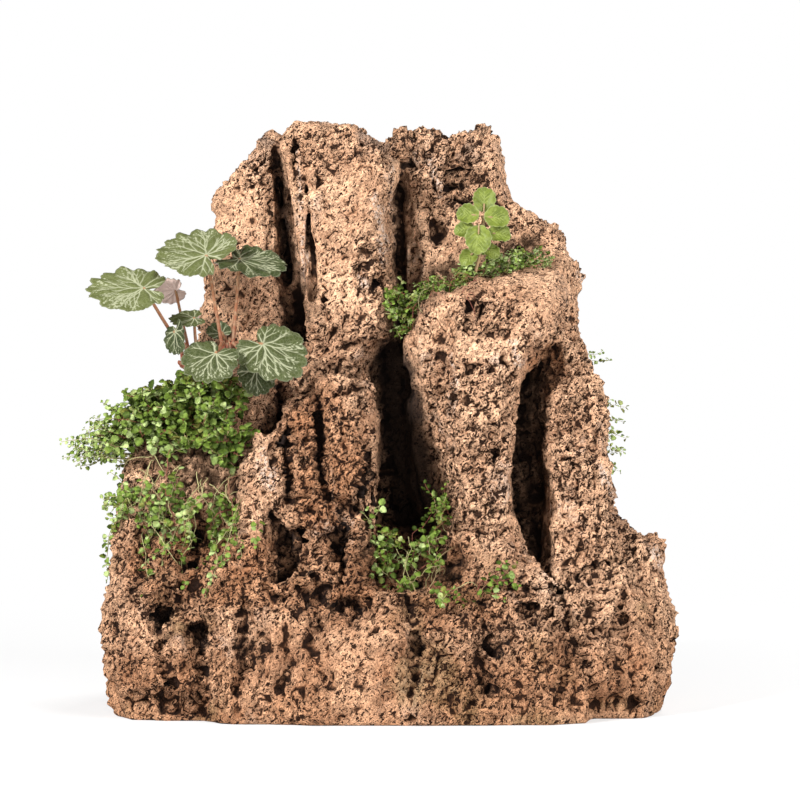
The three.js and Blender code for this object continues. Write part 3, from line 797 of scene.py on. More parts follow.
def makeSaxifrageLeaf(name, leaf, look, rng):
    crown, bearing, at, tip, up, reach, pale = leaf
    phases = rng.uniform(0, 6, 4)
    veins = []
    for k in range(look["veins"]):
        turn = math.radians((2 * k / (look["veins"] - 1) - 1) * look["veinSpan"]) + rng.normal(0, 0.05)
        length = saxifrageMargin(np.array([turn]), look, phases)[0] * reach * 0.97
        veins += growVeins((0, 0), turn, length, look["veinWidth"] * (0.6 + 0.02 * reach), 2, rng)

    def outline(turn):
        return saxifrageMargin(turn, look, phases) * reach

    def relief(x, y, share):
        turn = np.arctan2(y, x)
        cup = look["cup"] * reach * share ** 2 * (1 - 0.9 * np.cos(turn) ** 2)
        ruffle = np.sin(look["lobes"] * turn / 2 + phases[3]) + np.sin(look["lobes"] * turn + phases[0])
        droop = -look["droop"] * reach * share ** 3 * (0.7 + 0.3 * np.cos(2 * turn + phases[1]))
        sunk = nearVeins(x, y, veins, 2.4, 1.1) * np.clip(share * 4, 0, 1) * (1 - share ** 6)
        return cup + look["ruffle"] * reach * share ** 3 * ruffle + droop - look["pucker"] * sunk

    rings, around = (int(base + more * reach) for base, more in (look["rings"], look["around"]))
    points, triangles, share, under = bladeArrays(outline, relief, look["thickness"], rings, around)
    vein = nearVeins(points[:, 0], points[:, 1], veins, 1)
    halo = nearVeins(points[:, 0], points[:, 1], veins, 2.6)
    points[:, 1] *= look["breadth"]
    x, y, z = saxifrageCrowns[crown]
    ray = levelWay(math.radians(bearing))
    foot = np.array([x, y, z + look["footHeight"]]) + ray * look["footReach"]
    rise = np.array([x, y, z + look["riseHeight"]]) + ray * look["riseReach"]
    path = smoothPath([foot, rise, rise + (np.array(at) - rise) * look["bend"], at], 7)
    climb = np.linspace(0, 1, len(path))
    radii = look["stalkRadius"] * (1.15 - 0.35 * climb) * (0.75 + 0.01 * reach)
    leafPile = Pile("vein", "halo", "rim", "under", "stalk", "climb", "pale")
    marks = {"vein": vein, "halo": halo, "rim": share, "under": under, "pale": pale}
    leafPile.add(placed(points, at, tip, up), triangles, **marks)
    leafPile.add(*tubeArrays(path, radii, 10), stalk=1, climb=np.repeat(climb, 10))
    return leafPile.piece(name.replace("leaf", "saxifrage"))


crownLook = {"rootRadius": 2.6, "scales": 9, "scaleLength": 6.5, "scaleRadius": 1.25, "rise": 0.75}


# A root crown: a short stock with the thick feet of old and new stalks round it
def makeCrown(name, middle, look, rng):
    crownPile = Pile("stalk", "climb")
    x, y, z = middle
    stock = smoothPath([(x, y, z - 3.2), (x + 0.3, y - 0.2, z), (x, y, z + 3)], 4)
    swell = look["rootRadius"] * np.sin(np.linspace(0.5, 2.7, len(stock))) ** 0.5
    crownPile.add(*tubeArrays(stock, swell, 12), stalk=1, climb=0)
    for i in range(look["scales"]):
        turn = i * 2.4 + rng.uniform(-0.2, 0.2)
        ray = levelWay(turn)
        foot = np.array(middle) + ray * 1.2 + [0, 0, -1.6 + 3.2 * i / look["scales"]]
        head = foot + (ray + [0, 0, look["rise"]]) * look["scaleLength"] * rng.uniform(0.5, 0.8)
        path = smoothPath([foot, (foot + head) / 2 + ray * 0.8, head], 4)
        taper = look["scaleRadius"] * np.sin(np.linspace(0.6, 3.0, len(path))) ** 0.7
        crownPile.add(*tubeArrays(path, np.maximum(taper, 0.2), 8), stalk=1, climb=0.2)
    return crownPile.piece(name)


sproutLook = {
    "rings": 14, "around": 72,
    "teeth": 11, "toothDepth": 0.1, "narrowing": 0.12, "cup": 0.26, "droop": 0.3, "pucker": 0.45,
    "thickness": 0.5, "veinWidth": 0.4,
    "stemRadius": 0.8, "jointSwell": 0.35, "stalkRadius": 0.45, "footGap": 1.25,
}

# The sprout's stem from its foot up, then its leaves: where each meets the stem, the way its tip and its
# upper face point, and its length
sproutStem = [(44, -40, 219), (47, -41, 233), (48, -41, 247)]
sproutLeaves = [
    ((48, -40.8, 248), (0.05, 0.12, 1), (0, -1, 0.1), 13),
    ((46.5, -43.4, 246.5), (-1, -0.1, 0.15), (-0.1, -1, 0.2), 11.5),
    ((47, -46.4, 245.6), (1, -0.1, 0), (0.1, -1, 0.25), 13),
    ((44.4, -43.6, 239), (-1, -0.1, 0.1), (-0.1, -0.9, 0.4), 10.5),
    ((45.4, -46.8, 242.6), (-0.05, -0.25, -1), (0, -1, 0.25), 15),
    ((48.8, -44.4, 237.4), (1, -0.15, 0.05), (0.1, -0.9, 0.4), 12),
    ((48, -39, 233), (0.8, -0.1, -0.75), (0.1, -0.9, 0.4), 9),
    ((44.2, -43.4, 230), (-0.7, -0.3, -0.75), (0, -0.9, 0.4), 10),
]


def makeSproutLeaf(number, leaf, look, rng):
    at, tip, up, length = leaf
    half = length / 2
    middle = np.asarray(at) + unit(tip) * (half + look["footGap"])
    veins = growVeins((-half * 0.95, 0), 0, length * 0.92, look["veinWidth"], 0, rng)
    for k in range(1, 6):
        for side in (-1, 1):
            start = (-half + length * 0.15 * k, 0)
            veins += growVeins(start, side * 0.75, half * (1.05 - 0.12 * k), look["veinWidth"] * 0.8, 1, rng)
    phase = rng.uniform(0, 6)

    def outline(turn):
        tooth = np.abs(np.cos(turn * look["teeth"] / 2)) ** 0.7 - 0.6
        body = 1 - look["narrowing"] * np.sin(turn) ** 2 - 0.05 * np.cos(turn)
        return half * body * (1 + look["toothDepth"] * tooth * np.clip(1.6 + np.cos(turn), 0, 1))

    def relief(x, y, share):
        along, beside = x / half, y / half
        bend = look["cup"] * half * beside ** 2 - look["droop"] * half * along ** 2 * (0.6 + 0.4 * along)
        wave = 0.09 * half * share ** 3 * np.sin(5 * np.arctan2(y, x) + phase)
        return bend + wave - look["pucker"] * nearVeins(x, y, veins, 1.6, 0.6) * (1 - share ** 6)

    points, triangles, share, under = bladeArrays(
        outline, relief, look["thickness"], look["rings"], look["around"])
    vein = nearVeins(points[:, 0], points[:, 1], veins, 1)
    leafPile = Pile("vein", "rim", "under", "stalk")
    leafPile.add(placed(points, middle, tip, up), triangles, vein=vein, rim=share, under=under)
    joint = np.asarray(at) + unit(tip) * 0.4
    out = unit(tip) * half
    path = smoothPath([joint, middle - out * 0.9, middle - out * 0.4], 3)
    leafPile.add(*tubeArrays(path, look["stalkRadius"], 6), stalk=1)
    return leafPile.piece(f"sproutBlade{number}")


# The sprout's stem, a little thicker where leaves leave it
def makeSproutStem(look):
    path = smoothPath(sproutStem, 12)
    joints = np.array([leaf[0][2] for leaf in sproutLeaves])
    near = np.exp(-(np.min(np.abs(path[:, 2:] - joints[None]), axis=1) / 1.2) ** 2)
    stemPile = Pile("vein", "rim", "under", "stalk")
    stemPile.add(*tubeArrays(path, look["stemRadius"] * (1 + look["jointSwell"] * near), 12), stalk=1)
    return stemPile.piece("sproutStalk")


# Creeping plants: strands root in the stone, grow outwards and carry small leaves in pairs

creeperLook = {
    "leafRim": [(0, 0.05), (0.08, 0.34), (0.3, 0.47), (0.4, 0.4), (0.6, 0.48), (0.74, 0.33), (0.9, 0.22)],
    "leafRibs": (0, 0.4, 0.8), "leafFold": 0.24, "leafThickness": 0.05, "stalkRadius": 0.13,
    "gap": 1.2, "proud": 4, "room": 6,
    "missing": 0.1, "tipLeaf": 0.65, "stalkLength": 0.3,
    "leafLean": (0, -0.1, 0.1), "faceLean": (-0.1, -0.55, 0.5), "strandTones": 0.15, "leafTones": 0.26,
}

# For each plant its tufts. A tuft has the place it roots at and how far round it, strands, steps in a strand
# and their length, the way it leans, leaf lengths, the share of a strand that stays bare (above 1 there are
# no leaves), how light its green is, and whether it hugs the stone. The lightest greens are partly painted
# backlight.
tuftFields = ("at", "spread", "strands", "steps", "step", "lean", "leaf", "bare", "tone", "hugs")
creepers = {
    "creeper_left": {"piece": "creeperLeft", "seed": 5, "stem": 0.28, "tufts": [
        ((-94, -46, 160), 24, 84, (4, 9), 3.1, (-0.03, -0.22, 0.02), (3, 5), 0.3, 0.4),
        ((-116, -42, 152), 20, 62, (5, 10), 3.1, (-0.16, -0.18, 0.04), (2.8, 4.8), 0.3, 0.55),
        ((-82, -54, 140), 16, 24, (4, 9), 3, (0.02, -0.2, -0.02), (3, 4.8), 0.35, 0.45),
        # The pale greens of these fringe tufts are partly painted backlight
        ((-132, -38, 142), 16, 40, (7, 13), 3.2, (-0.4, -0.1, 0.04), (1.8, 3.2), 0.35, 0.85),
        ((-136, -34, 134), 14, 26, (9, 15), 3, (-0.6, -0.05, 0), (1.6, 2.8), 0.45, 0.9),
        ((-122, -38, 162), 14, 26, (6, 10), 3, (-0.22, -0.05, 0.28), (2, 3.4), 0.3, 0.85),
        ((-110, -52, 122), 22, 14, (4, 9), 3, (-0.05, -0.12, -0.25), (2.4, 3.8), 0.4, 0.5),
        ((-134, -46, 100), 24, 24, (5, 9), 3, (-0.28, -0.1, -0.16), (2, 3.6), 0.3, 0.75),
        ((-82, -66, 112), 20, 14, (7, 14), 4, (0.02, -0.04, -0.5), (2, 3.6), 0.5, 0.6, True),
        ((-114, -56, 112), 24, 16, (7, 12), 4, (0, -0.04, -0.5), (2, 3.6), 0.5, 0.6, True),
        ((-106, -56, 110), 26, 12, (6, 10), 4, (0.1, 0, -0.4), (2, 3), 3, 0.9, True),
    ]},
    "creeper_ledge": {"piece": "creeperLedge", "seed": 6, "stem": 0.2, "tufts": [
        ((10, -24, 204), 15, 54, (4, 9), 1.9, (-0.05, -0.3, -0.06), (1.6, 2.7), 0.35, 0.58),
        ((24, -26, 216), 10, 26, (4, 8), 1.8, (-0.05, -0.25, 0), (1.5, 2.5), 0.35, 0.6),
        ((40, -28, 223), 12, 28, (4, 9), 1.9, (-0.02, -0.16, 0.1), (1.7, 2.9), 0.3, 0.78),
        ((60, -28, 228), 14, 28, (4, 9), 1.9, (0.02, -0.16, 0.12), (1.7, 2.8), 0.35, 0.75),
        ((74, -18, 233), 12, 18, (4, 9), 1.9, (0.08, -0.16, 0.12), (1.6, 2.6), 0.4, 0.7),
        ((30, -30, 214), 26, 14, (6, 12), 2.2, (0.05, -0.1, 0), (1.5, 2), 3, 0.2, True),
    ]},
    "creeper_hollow": {"piece": "creeperHollow", "seed": 7, "stem": 0.26, "tufts": [
        ((8, -50, 74), 22, 26, (5, 11), 3, (-0.02, -0.18, 0.06), (2.2, 3.9), 0.5, 0.5),
        ((18, -42, 92), 18, 16, (6, 13), 3, (0.03, -0.1, 0.22), (2, 3.6), 0.45, 0.34),
        ((-6, -50, 90), 12, 7, (5, 10), 3, (-0.15, -0.15, 0.02), (2.4, 4), 0.55, 0.5),
        ((34, -70, 62), 16, 9, (6, 12), 3, (0.2, -0.1, 0.02), (1.8, 3.2), 0.6, 0.5, True),
        ((12, -60, 66), 24, 16, (6, 11), 3.2, (0.1, -0.12, 0.1), (2, 3), 3, 0.7),
    ]},
    "creeper_right": {"piece": "creeperRight", "seed": 8, "stem": 0.16, "tufts": [
        # The lightest green of these leaves is painted backlight
        ((108, 8, 140), 24, 38, (6, 12), 2.8, (0.26, -0.08, -0.04), (1.8, 3.2), 0.55, 1),
        ((104, 8, 176), 12, 10, (5, 9), 2.6, (0.25, -0.05, 0.1), (1.8, 2.8), 0.55, 1),
    ]},
}


# A small folded leaf of length 1 along x: its rim, and ribs above and below
def leafTemplate(look):
    rim = np.array([(x, w, 0) for x, w in look["leafRim"]])
    left = rim * [1, -1, 1]
    ribs = np.array([(x, 0, 0) for x in look["leafRibs"]])
    rimPoints = np.concatenate([rim, [[1.02, 0, 0]], left[::-1]])
    rimPoints[:, 2] = look["leafFold"] * np.abs(rimPoints[:, 1]) / 0.47
    points = np.concatenate([rimPoints, ribs + [0, 0, 0.02], ribs - [0, 0, look["leafThickness"]]])
    n = len(rimPoints)
    nearest = [int(np.argmin(np.abs(ribs[:, 0] - x))) for x in rimPoints[:, 0]]
    triangles = []
    for base, flip in ((n, False), (n + 3, True)):
        for i in range(n):
            j = (i + 1) % n
            a, b = nearest[i], nearest[j]
            fan = [(i, j, base + a)] if a == b else [(i, j, base + a), (j, base + b, base + a)]
            triangles += [t[::-1] if flip else t for t in fan]
    return points, np.array(triangles)


def awayFrom(tree, point):
    near, normal, _, _ = tree.find_nearest(Vector(point))
    normal = np.array(normal)
    return np.dot(point - np.array(near), normal), normal


def growStrand(start, heading, tuft, stoneTree, formTree, room, rng):
    look = creeperLook
    path = [np.asarray(start, float)]
    hugs = tuft.get("hugs", False)
    for _ in range(int(rng.integers(*tuft["steps"]))):
        heading = unit(heading + rng.normal(0, 0.36, 3) + np.array(tuft["lean"]))
        point = path[-1] + heading * tuft["step"]
        height, normal = awayFrom(stoneTree, point)
        if height < look["gap"]:
            point = point + normal * (look["gap"] - height)
        elif hugs and height > 3 * look["gap"]:
            point = point - normal * (height - 3 * look["gap"]) * 0.7
        heading = unit(point - path[-1])
        outside = np.any(point < room[0]) or np.any(point > room[1])
        if outside or (not hugs and awayFrom(formTree, point)[0] > look["proud"]):
            break
        path.append(point)
    return np.array(path)


# Places from which a tuft's strands can start: near it, on stone that doesn't face away from its lean
def rootingPoints(points, normals, tuft):
    away = np.linalg.norm(points - np.array(tuft["at"]), axis=1)
    away[normals @ unit(np.array(tuft["lean"])) < -0.5] = np.inf
    fewest = np.partition(away, 80)[80]
    return np.flatnonzero(away < max(tuft["spread"], fewest))


# The two leaves at one joint of a strand
def addLeafPair(plantPile, template, joint, along, outward, sizes, share, tone, rng):
    look = creeperLook
    leafPoints, leafTriangles = template
    side = unit(np.cross(along, outward + rng.normal(0, 0.5, 3)))
    size = rng.uniform(*sizes) * share
    for turn in (-1, 1):
        if rng.uniform() < look["missing"]:
            continue
        way = unit(along * 0.4 + side * turn + np.array(look["leafLean"]) + rng.normal(0, 0.3, 3))
        face = unit(outward * 0.5 + np.array(look["faceLean"]) + rng.normal(0, 0.4, 3))
        foot = joint + way * size * look["stalkLength"]
        plantPile.add(*tubeArrays([joint, foot], look["stalkRadius"], 3), tone=tone, wood=1)
        leafTone = np.clip(tone + rng.normal(0, look["leafTones"]), 0, 1)
        plantPile.add(placed(leafPoints * size, foot, way, face), leafTriangles, tone=leafTone)


def makeCreeper(node, look, stone, stoneTree):
    rng = np.random.default_rng(look["seed"])
    formTree = surfaceTree(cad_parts[node])
    spare = creeperLook["room"]
    room = [np.array(cadBox[0]) / mm - spare, np.array(cadBox[1]) / mm + spare]
    points, normals = readPoints(stone.data), readNormals(stone.data)
    template = leafTemplate(creeperLook)
    plantPile = Pile("tone", "wood")
    for row in look["tufts"]:
        tuft = dict(zip(tuftFields, row))
        roots = rootingPoints(points, normals, tuft)
        for _ in range(tuft["strands"]):
            root = roots[rng.integers(len(roots))]
            start = points[root] - normals[root]
            path = growStrand(start, normals[root], tuft, stoneTree, formTree, room, rng)
            if len(path) < 3:
                continue
            tone = np.clip(tuft["tone"] + rng.normal(0, creeperLook["strandTones"]), 0, 1)
            taper = look["stem"] * np.linspace(1, 0.55, len(path))
            plantPile.add(*tubeArrays(path, taper, 3), tone=tone, wood=1)
            first = max(1, int(len(path) * tuft["bare"] * rng.uniform(0.6, 1.2)))
            for k in range(first, len(path)):
                along = unit(path[k] - path[k - 1])
                outward = awayFrom(stoneTree, path[k])[1]
                share = creeperLook["tipLeaf"] if k == len(path) - 1 else 1
                addLeafPair(plantPile, template, path[k], along, outward, tuft["leaf"], share, tone, rng)
    piece = plantPile.piece(look["piece"])
    print(look["piece"], len(piece.data.polygons), "triangles")
    return piece


# Materials

def newMaterial(name):
    material = bpy.data.materials.new(name)
    material.use_nodes = True
    tree = material.node_tree
    return material, tree, tree.nodes["Principled BSDF"]


def addNode(tree, kind, inputs=None, **settings):
    node = tree.nodes.new(kind)
    for key, value in settings.items():
        setattr(node, key, value)
    setInputs(tree, node, inputs or {})
    return node


def setInputs(tree, node, inputs):
    for key, value in inputs.items():
        socket = node.inputs[key]
        if isinstance(value, bpy.types.NodeSocket):
            tree.links.new(value, socket)
        elif socket.type == "RGBA" and len(value) == 3:
            socket.default_value = (*value, 1)
        else:
            socket.default_value = value


def mixColour(tree, share, first, second, blend="MIX"):
    inputs = {0: share, 6: first, 7: second}
    return addNode(tree, "ShaderNodeMix", inputs, data_type="RGBA", blend_type=blend).outputs[2]


# Fades smoothly from toLow, where the value is at low or beyond, to toHigh at high
def fade(tree, value, low, high, toLow=0.0, toHigh=1.0):
    inputs = {0: value, 1: low, 2: high, 3: toLow, 4: toHigh}
    return addNode(tree, "ShaderNodeMapRange", inputs, interpolation_type="SMOOTHSTEP").outputs[0]


def calculate(tree, operation, *values):
    return addNode(tree, "ShaderNodeMath", dict(enumerate(values)), operation=operation).outputs[0]


def multiply(tree, first, second):
    return calculate(tree, "MULTIPLY", first, second)


def greatest(tree, first, *others):
    for other in others:
        first = calculate(tree, "MAXIMUM", first, other)
    return first


def noiseField(tree, vector, scale, detail):
    inputs = {"Vector": vector, "Scale": float(scale), "Detail": float(detail)}
    return addNode(tree, "ShaderNodeTexNoise", inputs).outputs["Fac"]


def objectPlace(tree):
    return addNode(tree, "ShaderNodeTexCoord").outputs["Object"]


def markValues(tree, *names):
    return [addNode(tree, "ShaderNodeAttribute", attribute_name=name).outputs["Fac"] for name in names]


def addBump(tree, shader, height, strength, distance):
    inputs = {"Strength": strength, "Distance": distance, "Height": height}
    tree.links.new(addNode(tree, "ShaderNodeBump", inputs).outputs[0], shader.inputs["Normal"])


# An effect that several materials share, as a node group: its named inputs, its output, and what lies between
def makeGroup(name, inputs, output, build):
    group = bpy.data.node_groups.new(name, "ShaderNodeTree")
    sockets = [(key, "INPUT", kind) for key, kind in inputs.items()] + [(output[0], "OUTPUT", output[1])]
    for key, way, kind in sockets:
        group.interface.new_socket(key, in_out=way, socket_type="NodeSocket" + kind)
    start = group.nodes.new("NodeGroupInput")
    end = group.nodes.new("NodeGroupOutput")
    group.links.new(build(group, *start.outputs[:len(inputs)]), end.inputs[0])
    return group


def buildMottle(group, place, scale, first, second):
    inputs = {"Vector": place, "Scale": scale, "Detail": 5.0, "Roughness": 0.62}
    patch = addNode(group, "ShaderNodeTexNoise", inputs)
    return mixColour(group, fade(group, patch.outputs["Fac"], 0.34, 0.66), first, second)


def buildGrain(group, place, scale, detail, low, high, toLow, toHigh):
    inputs = {"Vector": place, "Scale": scale, "Detail": detail}
    noise = addNode(group, "ShaderNodeTexNoise", inputs)
    return fade(group, noise.outputs["Fac"], low, high, toLow, toHigh)


mottleInputs = {"Vector": "Vector", "Scale": "Float", "First": "Color", "Second": "Color"}
mottleGroup = makeGroup("mottle", mottleInputs, ("Color", "Color"), buildMottle)
grainInputs = dict.fromkeys(("Vector", "Scale", "Detail", "Low", "High", "To Low", "To High"), "Float")
grainInputs["Vector"] = "Vector"
grainGroup = makeGroup("grain", grainInputs, ("Value", "Float"), buildGrain)


# Uneven patches of two colours, of any size
def mottle(tree, place, scale, first, second):
    inputs = {"Vector": place, "Scale": float(scale), "First": first, "Second": second}
    return addNode(tree, "ShaderNodeGroup", inputs, node_tree=mottleGroup).outputs[0]


# Grain of any size that fades between two values
def grain(tree, place, scale, detail, low, high, toLow=0.0, toHigh=1.0):
    values = (place, float(scale), float(detail), low, high, toLow, toHigh)
    inputs = dict(zip(grainInputs, values))
    return addNode(tree, "ShaderNodeGroup", inputs, node_tree=grainGroup).outputs[0]


stoneColours = {
    # Painted shade colours: a reddish brown and a near black for pits and hollows, and a near black for
    # closed-in stone
    "tan": (0.72, 0.432, 0.266), "brown": (0.5, 0.277, 0.162), "pitShadeBrown": (0.22, 0.085, 0.035),
    "deep": (0.016, 0.007, 0.004), "paintedShade": (0.018, 0.011, 0.009),
    # A pale lime colour, also standing for painted highlight on lit edges
    "limeAndHighlight": (0.7, 0.56, 0.47), "grey": (0.22, 0.165, 0.135), "moss": (0.2, 0.19, 0.07),
    # A near-black soil colour, also standing for painted shade under the creepers
    "soilAndShade": (0.05, 0.026, 0.013), "wetting": (0.68, 0.565, 0.475),
}

stoneFinish = {
    # the scale of each size of pore, how wide they are, and how much wider where the stone is rough
    "pores": ((1250, 0.385, 0.03), (600, 0.345, 0.075), (280, 0.285, 0.1)),
    "poreStretch": 1.8, "warpScale": 500.0, "warpDepth": 0.003,
    "greyHeights": (0.272, 0.296), "mossHeights": (0.1, 0.03),  # in metres, from where they start to full
    "lowered": 0.0017,  # the depth in metres that the finest relief stands for
}


# Slanting pores of three sizes, more and wider where the stone is rough
def stonePores(tree, place, coarse, finish):
    inputs = {"Vector": place, "Scale": finish["warpScale"], "Detail": 2.0}
    warp = addNode(tree, "ShaderNodeTexNoise", inputs).outputs["Color"]
    inputs = {0: warp, 1: (finish["warpDepth"],) * 3, 2: place}
    bent = addNode(tree, "ShaderNodeVectorMath", inputs, operation="MULTIPLY_ADD").outputs[0]
    turn = (0, math.radians(rockLook["slant"]), 0)
    inputs = {"Vector": bent, "Rotation": turn, "Scale": (1, 1, finish["poreStretch"])}
    slant = addNode(tree, "ShaderNodeMapping", inputs, vector_type="TEXTURE").outputs[0]
    pores = []
    for scale, least, more in finish["pores"]:
        edge = calculate(tree, "MULTIPLY_ADD", coarse, more, least)
        inside = calculate(tree, "SUBTRACT", edge, noiseField(tree, slant, scale, 2))
        pores.append(fade(tree, inside, -0.02, 0.05))
    return slant, pores


def makeStone(colours, finish):
    material, tree, shader = newMaterial("tufa")
    place = objectPlace(tree)
    height = addNode(tree, "ShaderNodeSeparateXYZ", {0: place}).outputs[2]
    hollow, recess, paintedShade, coarse, paleEdges, soilAndShade, damp, caveShade = markValues(
        tree, "hollow", "recess", "occlusionShade", "rough", "limeAndHighlight", "soilAndShade", "damp", "paintedCaveShade")
    slant, (fine, middling, wide) = stonePores(tree, place, coarse, finish)

    colour = mottle(tree, place, 45, colours["brown"], colours["tan"])
    colour = mixColour(tree, 1.0, colour, grain(tree, slant, 1500, 4, 0.3, 0.7, 0.62, 1.36), "MULTIPLY")
    colour = mixColour(tree, 1.0, colour, grain(tree, slant, 330, 4, 0.34, 0.66, 0.72, 1.2), "MULTIPLY")
    # Pale on ridges and along the listed edges: lime crust, and painted highlight where edges catch the light
    ridge = calculate(tree, "MULTIPLY_ADD", fade(tree, hollow, 0.0, -0.5), 0.3, 0.08)
    limeAndHighlight = multiply(tree, grain(tree, place, 38, 4, 0.58, 0.74), ridge)
    limeAndHighlight = greatest(tree, limeAndHighlight, multiply(tree, paleEdges, grain(tree, place, 560, 4, 0.4, 0.62, 0.0, 0.8)))
    colour = mixColour(tree, limeAndHighlight, colour, colours["limeAndHighlight"])
    top = fade(tree, height, *finish["greyHeights"])
    grey = multiply(tree, top, grain(tree, place, 55, 3, 0.5, 0.64, 0.0, 0.7))
    colour = mixColour(tree, grey, colour, colours["grey"])
    low = fade(tree, height, *finish["mossHeights"])
    moss = multiply(tree, low, grain(tree, place, 30, 4, 0.52, 0.7, 0.0, 0.35))
    colour = mixColour(tree, moss, colour, colours["moss"])

    # Painted shade inside pores, pits and small hollows: reddish brown, then near black where deepest
    depth = greatest(tree, fade(tree, hollow, 0.12, 1.1), greatest(tree, fine, middling, wide))
    colour = mixColour(tree, multiply(tree, depth, 0.85), colour, colours["pitShadeBrown"])
    colour = mixColour(tree, fade(tree, depth, 0.45, 0.95, 0.0, 0.92), colour, colours["deep"])
    colour = mixColour(tree, damp, colour, mixColour(tree, 1.0, colour, colours["wetting"], "MULTIPLY"))
    # Darker round the creepers' roots: soil, and painted shade under their leaves
    soilAndShade = multiply(tree, soilAndShade, grain(tree, place, 260, 4, 0.32, 0.6, 0.35, 0.95))
    colour = mixColour(tree, soilAndShade, colour, colours["soilAndShade"])
    # Painted shade: the larger hollows are darkened towards near black
    colour = mixColour(tree, fade(tree, recess, 0.15, 1.0, 0.0, 0.6), colour, colours["paintedShade"])
    # Painted shade: stone closed in by the rest of the stone, and the back of the great hollow, darkened
    # towards near black
    shade = greatest(tree, fade(tree, paintedShade, 0.5, 1.0, 0.0, 0.87), multiply(tree, caveShade, 0.94))
    colour = mixColour(tree, shade, colour, colours["paintedShade"])
    setInputs(tree, shader, {"Base Color": colour, "Roughness": 0.95, "Specular IOR Level": 0.15})
    crumb = multiply(tree, noiseField(tree, place, 1300, 3), 0.8)
    sunk = calculate(tree, "MULTIPLY_ADD", wide, 1.6, calculate(tree, "MULTIPLY_ADD", middling, 1.2, fine))
    addBump(tree, shader, calculate(tree, "SUBTRACT", crumb, sunk), 1.0, finish["lowered"])
    return material


saxifrageColours = {
    "blade": (0.013, 0.021, 0.004), "paler": (0.034, 0.046, 0.013), "washed": (0.13, 0.145, 0.045),
    "silver": (0.35, 0.36, 0.235), "under": (0.5, 0.38, 0.33),
    "stalk": (0.17, 0.032, 0.022), "stalkTip": (0.29, 0.14, 0.065),
}


def makeSaxifrage(colours):
    material, tree, shader = newMaterial("saxifrage")
    place = objectPlace(tree)
    vein, halo, rim, under, stalk, climb, pale = markValues(
        tree, "vein", "halo", "rim", "under", "stalk", "climb", "pale")
    colour = mottle(tree, place, 230, colours["blade"], colours["paler"])
    colour = mixColour(tree, multiply(tree, pale, 0.62), colour, colours["washed"])
    inputs = {"Vector": place, "Scale": 620.0}
    net = addNode(tree, "ShaderNodeTexVoronoi", inputs, feature="DISTANCE_TO_EDGE").outputs["Distance"]
    netting = fade(tree, net, 0.12, 0.02, 0.0, 0.12)
    patchy = grain(tree, place, 160, 3, 0.36, 0.66, 0.2, 1.0)
    frost = multiply(tree, fade(tree, halo, 0.2, 1.0, 0.0, 0.24), patchy)
    silverVein = fade(tree, vein, 0.12, 0.95, 0.0, 0.82)
    silver = greatest(tree, silverVein, frost, netting, fade(tree, rim, 0.95, 1.0, 0.0, 0.35))
    colour = mixColour(tree, silver, colour, colours["silver"])
    colour = mixColour(tree, under, colour, colours["under"])
    stem = mixColour(tree, climb, colours["stalk"], colours["stalkTip"])
    flecks = grain(tree, place, 500, 3, 0.4, 0.7, 0.0, 0.3)
    colour = mixColour(tree, stalk, colour, mixColour(tree, flecks, stem, colours["silver"]))
    setInputs(tree, shader, {"Base Color": colour, "Roughness": 0.6, "Specular IOR Level": 0.14})
    down = multiply(tree, noiseField(tree, place, 1500, 2), 0.35)
    addBump(tree, shader, calculate(tree, "SUBTRACT", down, netting), 0.5, 0.0004)
    return material


creeperColours = {
    "young": (0.34, 0.42, 0.16), "leaf": (0.145, 0.215, 0.032), "old": (0.038, 0.062, 0.007),
    "stem": (0.4, 0.36, 0.17), "redStem": (0.24, 0.08, 0.055), "tinge": (0.24, 0.17, 0.045),
}


def makeCreeperMaterial(colours):
    material, tree, shader = newMaterial("creeper")
    place = objectPlace(tree)
    tone, wood = markValues(tree, "tone", "wood")
    colour = mixColour(tree, fade(tree, tone, 0.0, 0.6), colours["old"], colours["leaf"])
    # The lightest tones take a pale young green, which also stands for painted backlight
    colour = mixColour(tree, fade(tree, tone, 0.6, 1.0), colour, colours["young"])
    colour = mixColour(tree, 1.0, colour, grain(tree, place, 420, 2, 0.35, 0.65, 0.75, 1.3), "MULTIPLY")
    tinged = grain(tree, place, 120, 2, 0.58, 0.7, 0.0, 0.45)
    colour = mixColour(tree, tinged, colour, colours["tinge"])
    stem = mixColour(tree, fade(tree, tone, 0.4, 0.6), colours["redStem"], colours["stem"])
    colour = mixColour(tree, wood, colour, stem)
    setInputs(tree, shader, {"Base Color": colour, "Roughness": 0.55, "Specular IOR Level": 0.15})
    addBump(tree, shader, noiseField(tree, place, 900, 2), 0.5, 0.0005)
    return material


sproutColours = {
    "blade": (0.09, 0.12, 0.013), "paler": (0.17, 0.21, 0.034), "vein": (0.26, 0.3, 0.08),
    "rim": (0.34, 0.37, 0.17), "stalk": (0.3, 0.2, 0.1),
}


def makeSproutMaterial(colours):
    material, tree, shader = newMaterial("sprout")
    place = objectPlace(tree)
    vein, rim, under, stalk = markValues(tree, "vein", "rim", "under", "stalk")
    colour = mottle(tree, place, 240, colours["blade"], colours["paler"])
    colour = mixColour(tree, fade(tree, vein, 0.3, 1.0, 0.0, 0.6), colour, colours["vein"])
    edge = greatest(tree, fade(tree, rim, 0.9, 1.0, 0.0, 0.5), multiply(tree, under, 0.4))
    colour = mixColour(tree, edge, colour, colours["rim"])
    colour = mixColour(tree, stalk, colour, colours["stalk"])
    setInputs(tree, shader, {"Base Color": colour, "Roughness": 0.5, "Specular IOR Level": 0.25})
    addBump(tree, shader, noiseField(tree, place, 800, 2), 0.4, 0.0004)
    return material


# Putting it together

stone, stoneTree = makeRock(rockLook)
finishPiece(stone, makeStone(stoneColours, stoneFinish), "rock")
print("stone ready")

